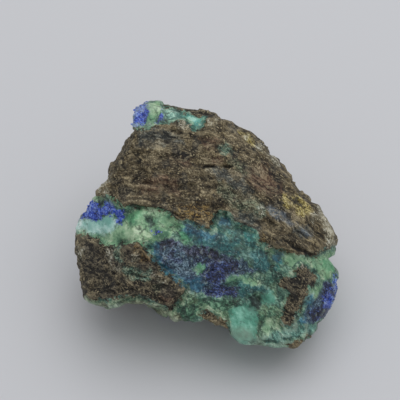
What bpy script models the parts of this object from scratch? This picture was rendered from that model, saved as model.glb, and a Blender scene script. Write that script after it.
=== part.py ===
"""A rough chrysocolla specimen: one broken stone of brown ironstone, with a vein of soft copper minerals across its
display face. The harder brown rock stands a little proud of the vein, as a slab above it and lumps below it.

Run it with blender --background --python part.py, or from Blender's text editor. It leaves one closed solid, stone,
which rests on a flat broken face at height 0.
"""

import math

import bmesh
import bpy
import numpy as np

MM = 0.001

# Driving dimensions, in millimetres. The display face is the side that a collector shows. Its own axes are across
# (+X), up the face, and out of it, and they cross at the stone's centre.
FACE_TILT_DEG = 52.0  # the display face looks up at this angle above the horizon
CENTRE = (-0.10, 0.96, 20.4)  # the stone's centre above the middle of its own footprint
GRID_CUTS = 27  # cuts along each edge of the cube that the stone starts from
RIM_SHARPNESS = 4.0  # 2 is a round rim, and higher is boxier
RIM_DEPTH = (26.0, 26.0)  # how deep the stone would be in front of its rim and behind it, before its faces cut it
RIM_LEAN = (-0.05, -0.12)  # how far the rim leans out of the face, per millimetre across and up
EDGE_SHARPNESS = 55.0  # how crisply two broken faces meet

# The rim as the display face shows it: millimetres across and up the face.
RIM = (
    (-18.2, 24.5), (-18.4, 29.4), (-18.5, 34.7), (-16.1, 33.9), (-9.1, 31.0), (2.0, 30.5), (4.3, 27.9), (10.0, 25.4),
    (15.0, 23.2), (17.7, 15.4), (21.5, 11.6), (23.7, 7.9), (29.0, 5.5), (30.2, 3.0), (34.7, -3.5), (34.1, -7.6),
    (32.3, -8.5), (35.3, -13.7), (36.5, -21.2), (28.9, -24.8), (26.3, -27.7), (21.9, -30.0), (11.6, -30.1),
    (8.5, -29.0), (5.3, -25.7), (-0.5, -23.2), (-8.0, -23.5), (-12.0, -20.9), (-16.0, -19.2), (-20.5, -19.4),
    (-24.8, -20.8), (-27.5, -19.5), (-30.6, -18.2), (-31.9, -14.6), (-32.8, -5.4), (-32.7, -1.5), (-31.1, 2.1),
    (-28.2, 7.1), (-26.6, 10.5), (-24.6, 12.0), (-24.1, 15.6), (-22.0, 18.7), (-19.9, 22.4),
)

# The broken faces: compass bearing and elevation of the way each one looks, in degrees, and its distance from the
# stone's centre. Bearing 0 is the front (-Y) and 90 the right (+X).
FACES = {
    "bedding": (2.0, 69.0, 17.4),
    "bedding_right": (76.0, 62.0, 20.5),
    "vein": (3.0, 42.0, 18.8),
    "left_cheek": (-58.0, 38.0, 25.6),
    "right_cheek": (58.0, 27.0, 29.6),
    "right_shoulder": (112.0, 46.0, 24.2),
    "left_shoulder": (-104.0, 58.0, 33.0),
    "crest": (177.0, 61.0, 30.5),
    "back": (174.0, 2.0, 28.6),
    "back_left": (-136.0, 6.0, 31.5),
    "back_left_low": (-144.0, -36.0, 26.0),
    "back_low": (166.0, -26.0, 25.5),
    "back_right": (128.0, 4.0, 28.0),
    "back_right_low": (122.0, -38.0, 27.5),
    "left_low": (-86.0, -36.0, 31.0),
    "right_low": (84.0, -32.0, 34.5),
    "under_front": (-10.0, -60.0, 28.8),
    "under_left": (-56.0, -46.0, 32.0),
}

# Where brown rock stands proud of the vein: its outline on the display face, the height of its edge, and the width
# of the slope down from it.
SLAB = (
    (-19.0, 25.5), (-16.0, 25.0), (-12.0, 26.5), (-8.0, 27.0), (-4.5, 25.0), (-1.5, 26.5), (4.0, 32.0), (40.0, 32.0),
    (40.0, -4.0), (31.0, -6.0), (28.5, -8.0), (24.5, -7.5), (16.5, -6.0), (14.0, -4.0), (13.0, -1.0), (10.5, 1.5),
    (7.0, 3.0), (4.0, 4.0), (2.0, 1.5), (1.5, -1.0), (-1.5, 0.0), (-4.0, 1.5), (-7.0, 1.5), (-12.5, 4.5),
    (-21.5, 5.0), (-25.0, 7.5), (-40.0, 8.0), (-40.0, 24.0),
)
LUMP = (
    (-42.0, -1.5), (-30.5, -2.0), (-26.5, -4.5), (-24.5, -5.0), (-19.0, -4.0), (-16.5, -4.0), (-15.0, -6.0),
    (-13.5, -8.5), (-11.5, -11.0), (-7.5, -14.5), (-5.0, -16.5), (-6.0, -18.5), (-9.5, -22.0), (-14.5, -19.0),
    (-18.5, -18.0), (-24.5, -19.0), (-28.0, -19.0), (-38.0, -17.0),
)
PATCH = (
    (20.0, -11.0), (23.5, -10.0), (28.5, -13.0), (29.0, -15.0), (26.5, -16.5), (25.5, -19.0), (24.0, -22.5),
    (23.0, -25.5), (20.5, -26.5), (19.0, -25.0), (20.5, -18.0), (18.0, -15.0),
)
PROUD_ROCK = ((SLAB, 1.9, 3.2), (LUMP, 2.7, 3.4), (PATCH, 1.0, 2.6))

# Rounded swellings and hollows of the display face: where each is across and up the face, its half length and half
# width, the turn of its length in degrees, and its height.
SWELLINGS = (
    (9.5, -25.5, 7.5, 4.6, 80.0, 3.2),  # the waxy chrysocolla boss at the foot
    (17.0, -28.5, 9.0, 3.2, 4.0, 1.2),  # the banded lip beside it
    (30.0, -19.0, 6.5, 4.5, 62.0, 1.4),  # the blue shoulder at the lower right
    (-16.0, 29.0, 5.0, 4.0, 10.0, 1.4),  # the blue knob at the top left
    (-4.0, 28.0, 7.0, 2.6, -6.0, -0.9),  # the hollow beside it
    (13.5, -18.0, 6.0, 4.0, 35.0, -1.6),  # the hollow above the boss
    (-2.0, -10.0, 9.0, 4.5, -24.0, -1.1),  # the scooped blue ground in the middle
    (33.0, -4.5, 4.0, 3.0, 75.0, 1.0),  # the knob on the right rim
)

VIEW_DISTANCE = 390.0  # the map is drawn as seen from here, so what stands nearer the eye is drawn a little larger
VIEW_AIM = (-1.6, 6.8)  # and the eye is over this point of the map
VEIN_SINK = 0.22  # how far the vein's map sinks for each millimetre of depth behind the face
VEIN_WANDER = 3.0  # and how far it wanders there
BEDDING_STEP = 5.2  # between the ledges of the slab, up the face
BEDDING_RISE = 0.8
BEDDING_DIP = (0.12, 0.0095)  # the beds fall to the right by this much per millimetre, and ever more past the middle
CHIPS = ((14.0, 0.15, 61), (6.5, 0.11, 8))  # broken chips: their size, how far each tips, and a seed
FACE_CALM = 0.55  # the share by which the display face's chips are shallower
CHIP_CRISPNESS = 12.0  # how short the step between two chips is
ROUGHNESS = ((9.0, 0.35, 21), (4.0, 0.22, 34))  # soft unevenness: its size, its height and a seed


def stone_frame():
    """The display face's three axes, as rows: across, up the face, and out of it."""
    tilt = math.radians(FACE_TILT_DEG)
    return np.array(
        (
            (1.0, 0.0, 0.0),
            (0.0, math.sin(tilt), math.cos(tilt)),
            (0.0, -math.cos(tilt), math.sin(tilt)),
        )
    )


def lattice(cells, seed):
    """A repeatable number from 0 to 1 for each whole-numbered cell, by mixing the bits of its three indices."""
    mixed = (cells * np.array((73856093, 19349663, 83492791))).sum(axis=-1) + seed * 40503
    mixed &= 0xFFFFFFFF
    mixed = ((mixed ^ (mixed >> 15)) * 739982445) & 0xFFFFFFFF
    mixed = ((mixed ^ (mixed >> 12)) * 695872825) & 0xFFFFFFFF
    return (mixed ^ (mixed >> 15)) / 2.0**32


def soft_noise(points, size, seed):
    """Smooth noise from -1 to 1 whose lumps are size apart: cell corners' numbers blended along a smooth step."""
    scaled = points / size
    cell = np.floor(scaled).astype(np.int64)
    part = scaled - cell
    blend = part * part * (3.0 - 2.0 * part)
    total = np.zeros(len(points))
    for corner in np.ndindex(2, 2, 2):
        weight = np.prod(np.where(corner, blend, 1.0 - blend), axis=1)
        total += weight * lattice(cell + corner, seed)
    return total * 2.0 - 1.0


def chip_relief(points, size, tip, seed):
    """Flat chips: each point takes the tipped planes of the scattered centres around it, and the nearest centre counts
    for almost all, so each chip is flat and meets its neighbours at a short step."""
    cell = np.floor(points / size).astype(np.int64)
    weights = np.zeros(len(points))
    total = np.zeros(len(points))
    for offset in np.ndindex(3, 3, 3):
        home = cell + offset - 1
        jitter = np.stack([lattice(home, seed + axis) for axis in range(3)], axis=1)
        slope = np.stack([lattice(home, seed + 3 + axis) for axis in range(3)], axis=1) * 2.0 - 1.0
        away = points - (home + jitter) * size
        weight = np.exp(-CHIP_CRISPNESS * (away**2).sum(axis=1) / size**2)
        total += weight * (away * slope).sum(axis=1) * tip * 2.0
        weights += weight
    return total / weights


def smooth_step(value, low, high):
    """0 below low and 1 above high, with a soft slope between."""
    part = np.clip((value - low) / (high - low), 0.0, 1.0)
    return part * part * (3.0 - 2.0 * part)


def depth_inside(points, outline):
    """How far each 2D point lies inside a closed outline: positive inside, negative outside."""
    corners = np.array(outline)
    nearest = np.full(len(points), np.inf)
    crossings = np.zeros(len(points), int)
    for start, end in zip(corners, np.roll(corners, -1, axis=0)):
        edge = end - start
        away = points - start
        along = np.clip((away @ edge) / (edge @ edge), 0.0, 1.0)
        nearest = np.minimum(nearest, np.hypot(*(away - along[:, None] * edge).T))
        spans = (start[1] > points[:, 1]) != (end[1] > points[:, 1])
        if spans.any():
            meets = start[0] + (points[:, 1] - start[1]) / (end[1] - start[1] + 1e-12) * edge[0]
            crossings += spans & (points[:, 0] < meets)
    return np.where(crossings % 2, nearest, -nearest)


def rim_distance(across, up):
    """The rim's distance from the centre in each direction across and up the face, along its straight edges."""
    corners = np.array(RIM)
    turn = np.arctan2(corners[:, 1], corners[:, 0])
    order = np.argsort(turn)
    turn, corners = turn[order], corners[order]
    index = np.searchsorted(turn, np.arctan2(up, across)) % len(corners)
    end, start = corners[index], corners[index - 1]
    edge = end - start
    reach = start[:, 0] * edge[:, 1] - start[:, 1] * edge[:, 0]
    return reach / (across * edge[:, 1] - up * edge[:, 0])


def broken_block(directions):
    """The distance from the centre to the stone's surface, before its relief: the soft minimum of the rim's swell
    and of every broken face."""
    across, up, out = (directions @ stone_frame().T).T
    spread = np.hypot(across, up)
    lean = out - RIM_LEAN[0] * across - RIM_LEAN[1] * up
    depth = np.where(lean > 0.0, *RIM_DEPTH)
    reach = rim_distance(across / spread, up / spread)
    swell = (np.abs(spread / reach) ** RIM_SHARPNESS + np.abs(lean / depth) ** RIM_SHARPNESS) ** (-1 / RIM_SHARPNESS)
    total = swell**-EDGE_SHARPNESS
    for bearing, elevation, distance in FACES.values():
        b, e = math.radians(bearing), math.radians(elevation)
        normal = np.array((math.sin(b) * math.cos(e), -math.cos(b) * math.cos(e), math.sin(e)))
        facing = np.maximum(directions @ normal, 1e-4)
        total += (distance / facing) ** -EDGE_SHARPNESS
    return total ** (-1.0 / EDGE_SHARPNESS)


def vein_place(across, up, out):
    """Where each point lies on the display face's map. The vein is a sheet that runs on through the stone, so behind
    the face the map sinks with depth and wanders."""
    behind = np.maximum(-out, 0.0)
    points = np.stack((across, up, out), axis=1)
    drift = soft_noise(points, 13.0, 5) * VEIN_WANDER * smooth_step(behind, 0.0, 20.0)
    small = soft_noise(points, 4.0, 6) * 0.8
    place = np.stack((across, up + VEIN_SINK * behind + drift), axis=1) - VIEW_AIM
    return place * (1.0 + out / VIEW_DISTANCE)[:, None] + VIEW_AIM, small


def rock_relief(across, up, out, in_front):
    """How far the surface stands out or in: proud rock, the ledges of the beds, and the display face's swellings."""
    place, small = vein_place(across, up, out)
    height = np.zeros(len(across))
    for outline, rise, slope in PROUD_ROCK:
        height += rise * smooth_step(depth_inside(place, outline) + small, -0.5 * slope, 0.5 * slope)
    for x, y, half_length, half_width, turn, rise in SWELLINGS:
        t = math.radians(turn)
        along = (across - x) * math.cos(t) + (up - y) * math.sin(t)
        aside = (up - y) * math.cos(t) - (across - x) * math.sin(t)
        height += rise * in_front * np.exp(-((along / half_length) ** 2) - (aside / half_width) ** 2)
    beds = place[:, 1] + BEDDING_DIP[0] * across + BEDDING_DIP[1] * np.maximum(across + 2.0, 0.0) ** 2
    phase = (beds / BEDDING_STEP + 0.5 * small) % 1.0
    ledge = np.minimum(phase / 0.7, (1.0 - phase) / 0.3) - 0.5
    return height + BEDDING_RISE * ledge * smooth_step(depth_inside(place, SLAB), 0.0, 3.0)


def stone_surface(directions):
    """The stone's surface in each direction from its centre, in millimetres in the row's axes."""
    frame = stone_frame()
    points = directions * broken_block(directions)[:, None]
    across, up, out = (points @ frame.T).T
    in_front = smooth_step(out, -6.0, 4.0)
    relief = rock_relief(across, up, out, in_front)
    points = points + frame[2] * (in_front * relief)[:, None]
    points = points + directions * ((1.0 - in_front) * (relief - PROUD_ROCK[0][1]))[:, None]
    rough = sum(chip_relief(points, size, tip, seed) for size, tip, seed in CHIPS) * (1.0 - FACE_CALM * in_front)
    rough = rough + sum(soft_noise(points, size, seed) * rise for size, rise, seed in ROUGHNESS)
    return points + directions * rough[:, None]


def add_stone(collection):
    """A cube cut into an even grid, with each point moved out to the stone's surface and the foot cut off flat."""
    bm = bmesh.new()
    bmesh.ops.create_cube(bm, size=2.0)
    bmesh.ops.subdivide_edges(bm, edges=bm.edges, cuts=GRID_CUTS, use_grid_fill=True)
    on_cube = np.array([vertex.co for vertex in bm.verts])
    on_cube = np.tan(on_cube * math.pi / 4.0)  # even steps of angle, so that the squares stay alike
    directions = on_cube @ stone_frame()
    directions /= np.linalg.norm(directions, axis=1)[:, None]
    places = (stone_surface(directions) + CENTRE) * MM
    for vertex, place in zip(bm.verts, places):
        vertex.co = place
    cut = bmesh.ops.bisect_plane(
        bm,
        geom=bm.verts[:] + bm.edges[:] + bm.faces[:],
        plane_co=(0.0, 0.0, 0.0),
        plane_no=(0.0, 0.0, 1.0),
        clear_inner=True,
    )
    foot_edges = [piece for piece in cut["geom_cut"] if isinstance(piece, bmesh.types.BMEdge)]
    bmesh.ops.contextual_create(bm, geom=foot_edges)
    bmesh.ops.recalc_face_normals(bm, faces=bm.faces)
    mesh = bpy.data.meshes.new("stone")
    bm.to_mesh(mesh)
    bm.free()
    stone = bpy.data.objects.new("stone", mesh)
    collection.objects.link(stone)
    return stone


def ironstone_material():
    """Brown limonite rock: dull and a little rough, and no metal."""
    material = bpy.data.materials.new("ironstone")
    material.use_nodes = True
    shader = material.node_tree.nodes["Principled BSDF"]
    shader.inputs["Base Color"].default_value = (0.115, 0.105, 0.075, 1.0)
    shader.inputs["Roughness"].default_value = 0.8
    return material


def main():
    for thing in list(bpy.data.objects):
        bpy.data.objects.remove(thing)
    specimen = bpy.data.collections.new("chrysocolla_specimen")
    bpy.context.scene.collection.children.link(specimen)
    stone = add_stone(specimen)
    stone.data.materials.append(ironstone_material())


main()
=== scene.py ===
# %% [markdown]
# # A rough chrysocolla specimen
#
# The real thing is one broken stone, a little longer than a matchbox: hard brown ironstone, cut by a vein of soft
# copper minerals. Chrysocolla is the waxy turquoise, malachite the grainy green and azurite the glittering blue.
# This lesson loads the plain solid, works out a finer skin for it with numpy, and paints the minerals with nodes.

# %% Load the frame
import bpy
import math
import numpy as np
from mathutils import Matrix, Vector


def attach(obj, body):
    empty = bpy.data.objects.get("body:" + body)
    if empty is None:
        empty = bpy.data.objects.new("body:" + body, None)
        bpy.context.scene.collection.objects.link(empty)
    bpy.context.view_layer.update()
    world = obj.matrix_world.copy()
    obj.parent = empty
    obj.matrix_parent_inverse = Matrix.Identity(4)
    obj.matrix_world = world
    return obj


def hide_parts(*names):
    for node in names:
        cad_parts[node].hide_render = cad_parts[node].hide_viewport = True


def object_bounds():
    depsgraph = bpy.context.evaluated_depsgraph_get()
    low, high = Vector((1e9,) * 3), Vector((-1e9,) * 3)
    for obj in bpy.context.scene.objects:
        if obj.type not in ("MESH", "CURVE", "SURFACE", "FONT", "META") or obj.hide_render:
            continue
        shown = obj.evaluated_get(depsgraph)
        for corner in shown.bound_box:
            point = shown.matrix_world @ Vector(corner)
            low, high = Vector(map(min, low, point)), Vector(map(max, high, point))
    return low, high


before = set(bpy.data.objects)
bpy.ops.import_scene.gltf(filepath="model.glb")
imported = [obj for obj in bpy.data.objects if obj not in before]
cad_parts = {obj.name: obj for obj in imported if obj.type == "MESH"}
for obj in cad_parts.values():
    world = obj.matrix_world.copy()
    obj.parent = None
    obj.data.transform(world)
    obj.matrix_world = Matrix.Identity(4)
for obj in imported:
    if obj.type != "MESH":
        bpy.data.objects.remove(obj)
cad_box = [list(corner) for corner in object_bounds()]
print("the solid's box in mm:", [[round(value * 1000, 1) for value in corner] for corner in cad_box])

# %% [markdown]
# ## The display face's own axes
#
# A collector turns the best side of a specimen towards the eye, and that side looks up at 52 degrees here. Everything
# about the vein is easier to say in that face's own axes: across it, up it, and out of it. The three rows below are
# those axes, so a dot product with them changes a point of the room into a point of the face.

# %% Sizes that place the stone
MM = 0.001
FACE_TILT_DEG = 52.0
CENTRE = (-0.10, 0.96, 20.4)
tilt = math.radians(FACE_TILT_DEG)
FACE = np.array((
    (1.0, 0.0, 0.0),
    (0.0, math.sin(tilt), math.cos(tilt)),
    (0.0, -math.cos(tilt), math.sin(tilt)),
))
print("the face looks along", FACE[2].round(3))

# %% [markdown]
# ## Noise that repeats
#
# Broken rock has lumps at every size. Each helper here turns places in millimetres into heights. lattice gives each
# whole-numbered cell a fixed number, and the others blend those numbers, so every run makes the same stone.

# %% Numbers on a lattice, and smooth noise
def lattice(cells, seed):
    """A repeatable number from 0 to 1 for each whole-numbered cell, by mixing the bits of its three indices."""
    mixed = (cells * np.array((73856093, 19349663, 83492791))).sum(axis=-1) + seed * 40503
    mixed &= 0xFFFFFFFF
    mixed = ((mixed ^ (mixed >> 15)) * 739982445) & 0xFFFFFFFF
    mixed = ((mixed ^ (mixed >> 12)) * 695872825) & 0xFFFFFFFF
    return (mixed ^ (mixed >> 15)) / 2.0**32


def soft_noise(points, size, seed):
    """Smooth noise from -1 to 1: each cell corner's number, times how near the point is to it along a smooth step."""
    scaled = points / size
    cell = np.floor(scaled).astype(np.int64)
    part = scaled - cell
    blend = part * part * (3.0 - 2.0 * part)
    total = np.zeros(len(points))
    for corner in np.ndindex(2, 2, 2):
        weight = np.prod(np.where(corner, blend, 1.0 - blend), axis=1)
        total += weight * lattice(cell + corner, seed)
    return total * 2.0 - 1.0


def smooth_step(value, low, high):
    """0 below low, 1 above high, and 3 t squared less 2 t cubed between them."""
    part = np.clip((value - low) / (high - low), 0.0, 1.0)
    return part * part * (3.0 - 2.0 * part)


TRY_PLACES = np.eye(3) * 5.0
print("smooth noise at three places:", soft_noise(TRY_PLACES, 9.0, 1).round(2))

# %% Chips and grains, from scattered centres
def chip_relief(points, size, tip, seed, crispness=12.0):
    """Flat chips: the average of tipped planes through scattered centres, each weighted by exp(-crispness times the
    squared distance over size squared), so the nearest centre's plane almost always wins."""
    cell = np.floor(points / size).astype(np.int64)
    weights = np.zeros(len(points))
    total = np.zeros(len(points))
    for offset in np.ndindex(3, 3, 3):
        home = cell + offset - 1
        jitter = np.stack([lattice(home, seed + axis) for axis in range(3)], axis=1)
        slope = np.stack([lattice(home, seed + 3 + axis) for axis in range(3)], axis=1) * 2.0 - 1.0
        away = points - (home + jitter) * size
        weight = np.exp(-crispness * (away**2).sum(axis=1) / size**2)
        total += weight * (away * slope).sum(axis=1) * tip * 2.0
        weights += weight
    return total / weights


def grain_domes(points, size, seed):
    """Rounded grains: 1 less the squared distance, in sizes, to the nearest scattered centre, and never below 0."""
    cell = np.floor(points / size).astype(np.int64)
    nearest = np.full(len(points), 9.0)
    for offset in np.ndindex(3, 3, 3):
        home = cell + offset - 1
        jitter = np.stack([lattice(home, seed + axis) for axis in range(3)], axis=1)
        nearest = np.minimum(nearest, ((points / size - home - jitter) ** 2).sum(axis=1))
    return np.maximum(1.0 - nearest, 0.0)


print("chips at the same places, in mm:", chip_relief(TRY_PLACES, 6.5, 0.11, 8).round(2))
print("and grains, from 0 to 1:", grain_domes(TRY_PLACES, 1.7, 121).round(2))

# %% [markdown]
# ## The stone's main shape
#
# The same rule as the solid's makes the fine skin, so the two agree. From the stone's centre, a rim swells out to the
# outline that the display face shows, and flat broken faces cut into it. Each is a distance along a ray, and a soft
# minimum picks the nearest. A sculpted mesh could be as good to look at, but a rule can be drawn as fine as one likes.

# %% The rim and the broken faces
# The outline's corners, across and up in mm.
RIM = np.array((
    (-18.2, 24.5), (-18.4, 29.4), (-18.5, 34.7), (-16.1, 33.9), (-9.1, 31.0), (2.0, 30.5), (4.3, 27.9), (10.0, 25.4),
    (15.0, 23.2), (17.7, 15.4), (21.5, 11.6), (23.7, 7.9), (29.0, 5.5), (30.2, 3.0), (34.7, -3.5), (34.1, -7.6),
    (32.3, -8.5), (35.3, -13.7), (36.5, -21.2), (28.9, -24.8), (26.3, -27.7), (21.9, -30.0), (11.6, -30.1),
    (8.5, -29.0), (5.3, -25.7), (-0.5, -23.2), (-8.0, -23.5), (-12.0, -20.9), (-16.0, -19.2), (-20.5, -19.4),
    (-24.8, -20.8), (-27.5, -19.5), (-30.6, -18.2), (-31.9, -14.6), (-32.8, -5.4), (-32.7, -1.5), (-31.1, 2.1),
    (-28.2, 7.1), (-26.6, 10.5), (-24.6, 12.0), (-24.1, 15.6), (-22.0, 18.7), (-19.9, 22.4),
))
RIM_SHARPNESS, RIM_DEPTH = 4.0, 26.0  # how square the swell behind the rim is, and how deep in mm
RIM_LEAN = (-0.05, -0.12)  # how far out the rim's own plane goes for each mm across and up
EDGE_SHARPNESS, NEARLY_ZERO = 55.0, 1e-4
# The bearing and the height in degrees that each broken face looks along, and its distance from the centre in mm.
BROKEN_FACES = (
    (2.0, 69.0, 17.4), (76.0, 62.0, 20.5), (3.0, 42.0, 18.8), (-58.0, 38.0, 25.6), (58.0, 27.0, 29.6),
    (112.0, 46.0, 24.2), (-104.0, 58.0, 33.0), (177.0, 61.0, 30.5), (174.0, 2.0, 28.6), (-136.0, 6.0, 31.5),
    (-144.0, -36.0, 26.0), (166.0, -26.0, 25.5), (128.0, 4.0, 28.0), (122.0, -38.0, 27.5), (-86.0, -36.0, 31.0),
    (84.0, -32.0, 34.5), (-10.0, -60.0, 28.8), (-56.0, -46.0, 32.0),
)


def rim_distance(across, up):
    """How far the rim is in each direction: where the ray from the centre meets the straight edge between the two
    rim points on either side of it."""
    turn = np.arctan2(RIM[:, 1], RIM[:, 0])
    order = np.argsort(turn)
    turn, corners = turn[order], RIM[order]
    index = np.searchsorted(turn, np.arctan2(up, across)) % len(corners)
    end, start = corners[index], corners[index - 1]
    edge = end - start
    reach = start[:, 0] * edge[:, 1] - start[:, 1] * edge[:, 0]
    return reach / (across * edge[:, 1] - up * edge[:, 0])


def broken_block(directions):
    """The distance to the surface along each ray: the soft minimum, (sum of d^-55)^(-1/55), of the rim's swell and
    of every broken face. A face's distance along a ray is its own distance over the cosine between them."""
    across, up, out = (directions @ FACE.T).T
    spread = np.hypot(across, up)
    lean = out - RIM_LEAN[0] * across - RIM_LEAN[1] * up
    reach = rim_distance(across / spread, up / spread)
    swell = np.abs(spread / reach) ** RIM_SHARPNESS + np.abs(lean / RIM_DEPTH) ** RIM_SHARPNESS
    total = (swell ** (-1 / RIM_SHARPNESS)) ** -EDGE_SHARPNESS
    for bearing, elevation, distance in BROKEN_FACES:
        b, e = math.radians(bearing), math.radians(elevation)
        normal = np.array((math.sin(b) * math.cos(e), -math.cos(b) * math.cos(e), math.sin(e)))
        total += (distance / np.maximum(directions @ normal, NEARLY_ZERO)) ** -EDGE_SHARPNESS
    return total ** (-1.0 / EDGE_SHARPNESS)


print("the block reaches", broken_block(np.eye(3)).round(1), "mm to the right, to the back and up")

# %% [markdown]
# ## Where the brown rock stands proud
#
# Ironstone is harder than the vein, so it weathers less and stands a millimetre or three higher. Its outlines on the
# display face are short lists of corners, and a point's depth inside an outline makes both the ledge and the colour.

# %% Outlines of the rock on the face
SLAB = (
    (-19.0, 25.5), (-16.0, 25.0), (-12.0, 26.5), (-8.0, 27.2), (-5.8, 27.2), (-3.8, 26.2), (-3.0, 25.0),
    (-1.6, 25.4), (-0.4, 27.4), (4.0, 32.0), (40.0, 32.0), (40.0, -4.0), (31.0, -6.0), (28.5, -8.0), (24.5, -7.5),
    (16.5, -6.0), (14.0, -4.0), (13.6, -1.6), (11.6, -0.6), (9.4, 0.2), (7.4, 1.6), (5.6, 3.4), (3.2, 3.8),
    (1.9, 1.8), (1.5, -1.0), (-1.5, 0.0), (-4.0, 1.5), (-7.0, 1.5), (-12.5, 4.5), (-21.5, 5.0), (-25.0, 7.5),
    (-40.0, 8.0), (-40.0, 24.0),
)
LUMP = (
    (-42.0, -1.5), (-30.5, -2.0), (-26.5, -4.5), (-24.5, -5.0), (-19.0, -4.0), (-16.5, -4.0), (-15.0, -6.0),
    (-13.5, -8.5), (-11.5, -11.0), (-7.5, -14.5), (-5.0, -16.5), (-6.0, -18.5), (-9.5, -22.0), (-14.5, -19.0),
    (-18.5, -18.0), (-24.5, -19.0), (-28.0, -19.0), (-38.0, -17.0),
)
PATCH = (
    (18.8, -14.2), (20.2, -13.0), (23.0, -12.8), (23.8, -10.7), (25.0, -10.1), (27.1, -11.4), (29.2, -13.0),
    (28.9, -14.6), (26.4, -16.3), (25.7, -18.0), (25.4, -20.1), (24.4, -21.8), (23.0, -23.6), (22.3, -26.0),
    (19.8, -26.3), (19.2, -25.7), (19.8, -22.9), (20.2, -20.1), (21.6, -18.0), (20.2, -16.6), (19.2, -15.6),
)
# Each outline, how high it stands and how wide its slope is, in mm.
PROUD_ROCK = ((SLAB, 1.9, 1.8), (LUMP, 2.7, 2.2), (PATCH, 1.0, 1.6))
# Across, up, half length and half width in mm, turn in degrees, and height in mm.
SWELLINGS = (
    (9.5, -25.5, 7.5, 4.6, 80.0, 3.2), (17.0, -28.5, 9.0, 3.2, 4.0, 1.2), (30.0, -19.0, 6.5, 4.5, 62.0, 1.4),
    (-16.0, 29.0, 5.0, 4.0, 10.0, 1.4), (-4.0, 28.0, 7.0, 2.6, -6.0, -0.9), (13.5, -18.0, 6.0, 4.0, 35.0, -1.6),
    (-2.0, -10.0, 9.0, 4.5, -24.0, -1.1), (33.0, -4.5, 4.0, 3.0, 75.0, 1.0),
)


def depth_inside(points, outline):
    """How far each 2D point is inside a closed outline: the distance to its nearest edge, negative outside. A point
    is inside where a level line from it crosses the outline an odd number of times."""
    corners = np.array(outline)
    nearest = np.full(len(points), np.inf)
    crossings = np.zeros(len(points), int)
    for start, end in zip(corners, np.roll(corners, -1, axis=0)):
        edge = end - start
        away = points - start
        along = np.clip((away @ edge) / (edge @ edge), 0.0, 1.0)
        nearest = np.minimum(nearest, np.hypot(*(away - along[:, None] * edge).T))
        spans = (start[1] > points[:, 1]) != (end[1] > points[:, 1])
        if spans.any():
            meets = start[0] + (points[:, 1] - start[1]) / (end[1] - start[1] + 1e-12) * edge[0]
            crossings += spans & (points[:, 0] < meets)
    return np.where(crossings % 2, nearest, -nearest)


middle = np.zeros((1, 2))
print("the face's middle is", depth_inside(middle, SLAB)[0].round(1), "mm inside the slab's outline, so it is vein")

# %% The map of the vein, which runs on through the stone
VIEW_DISTANCE, VIEW_AIM = 390.0, (-1.6, 6.8)  # where the map is drawn from, in mm from the face and on it
VEIN_SINK = 0.22  # how far the map sinks for each mm behind the face
WANDER_SIZE, WANDER_MM, WANDER_DEPTH = 13.0, 3.0, 20.0
EDGE_SIZE, EDGE_MM = 4.0, 0.8


def vein_place(across, up, out):
    """Each point's place on the face's map. The vein is a sheet that runs on through the stone, so behind the face
    the map sinks by a share of the depth and wanders. It is drawn in perspective: (place - aim) * (1 + out / view)."""
    behind = np.maximum(-out, 0.0)
    points = np.stack((across, up, out), axis=1)
    drift = soft_noise(points, WANDER_SIZE, 5) * WANDER_MM * smooth_step(behind, 0.0, WANDER_DEPTH)
    small = soft_noise(points, EDGE_SIZE, 6) * EDGE_MM
    place = np.stack((across, up + VEIN_SINK * behind + drift), axis=1) - VIEW_AIM
    return place * (1.0 + out / VIEW_DISTANCE)[:, None] + VIEW_AIM, small


places, _ = vein_place(np.zeros(2), np.zeros(2), np.array((0.0, -20.0)))
print("on the map, the face's middle and the stone 20 mm behind it are at", places.round(1).tolist())

# %% Beds, ledges and swellings
BED_DIP, BED_CURVE, CURVE_START = 0.12, 0.0095, -2.0
LEDGE_STEP, LEDGE_RISE = 5.2, 0.8  # spacing and height in mm
LEDGE_CLIMB, LEDGE_DROP = 0.7, 0.3  # the shares of a step over which the rock climbs slowly and drops back


def bed_height(across, up):
    """Which bed a point is in: up, plus the dip times across, plus the curve times the square of across past -2."""
    return up + BED_DIP * across + BED_CURVE * np.maximum(across - CURVE_START, 0.0) ** 2


def turned_distances(x, y, centre_x, centre_y, turn):
    """How far places are from a centre, along a line at that turn in degrees and aside from it."""
    t = math.radians(turn)
    along = (x - centre_x) * math.cos(t) + (y - centre_y) * math.sin(t)
    aside = (y - centre_y) * math.cos(t) - (x - centre_x) * math.sin(t)
    return along, aside


def rock_relief(across, up, out, in_front):
    """How far the surface stands out or in: proud rock, ledges that repeat with bed height, and swellings, each of
    which is its height times exp(-(along / length)^2 - (aside / width)^2)."""
    place, small = vein_place(across, up, out)
    height = np.zeros(len(across))
    for outline, rise, slope in PROUD_ROCK:
        height += rise * smooth_step(depth_inside(place, outline) + small, -0.5 * slope, 0.5 * slope)
    for x, y, half_length, half_width, turn, rise in SWELLINGS:
        along, aside = turned_distances(across, up, x, y, turn)
        height += rise * in_front * np.exp(-((along / half_length) ** 2) - (aside / half_width) ** 2)
    phase = (bed_height(across, place[:, 1]) / LEDGE_STEP + 0.5 * small) % 1.0
    ledge = np.minimum(phase / LEDGE_CLIMB, (1.0 - phase) / LEDGE_DROP) - 0.5
    return height + LEDGE_RISE * ledge * smooth_step(depth_inside(place, SLAB), 0.0, 3.0)


print("the bed at the face's right edge is", bed_height(34.0, 0.0).round(1), "mm above its middle's")

# %% The surface along a ray
BIG_CHIPS = ((14.0, 0.15, 61), (6.5, 0.11, 8))  # size in mm, tip and seed
UNEVENNESS = ((9.0, 21, 0.35), (4.0, 34, 0.22))  # size in mm, seed and height in mm
FACE_CALM = 0.55  # how much less the display face is chipped than the back


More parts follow.
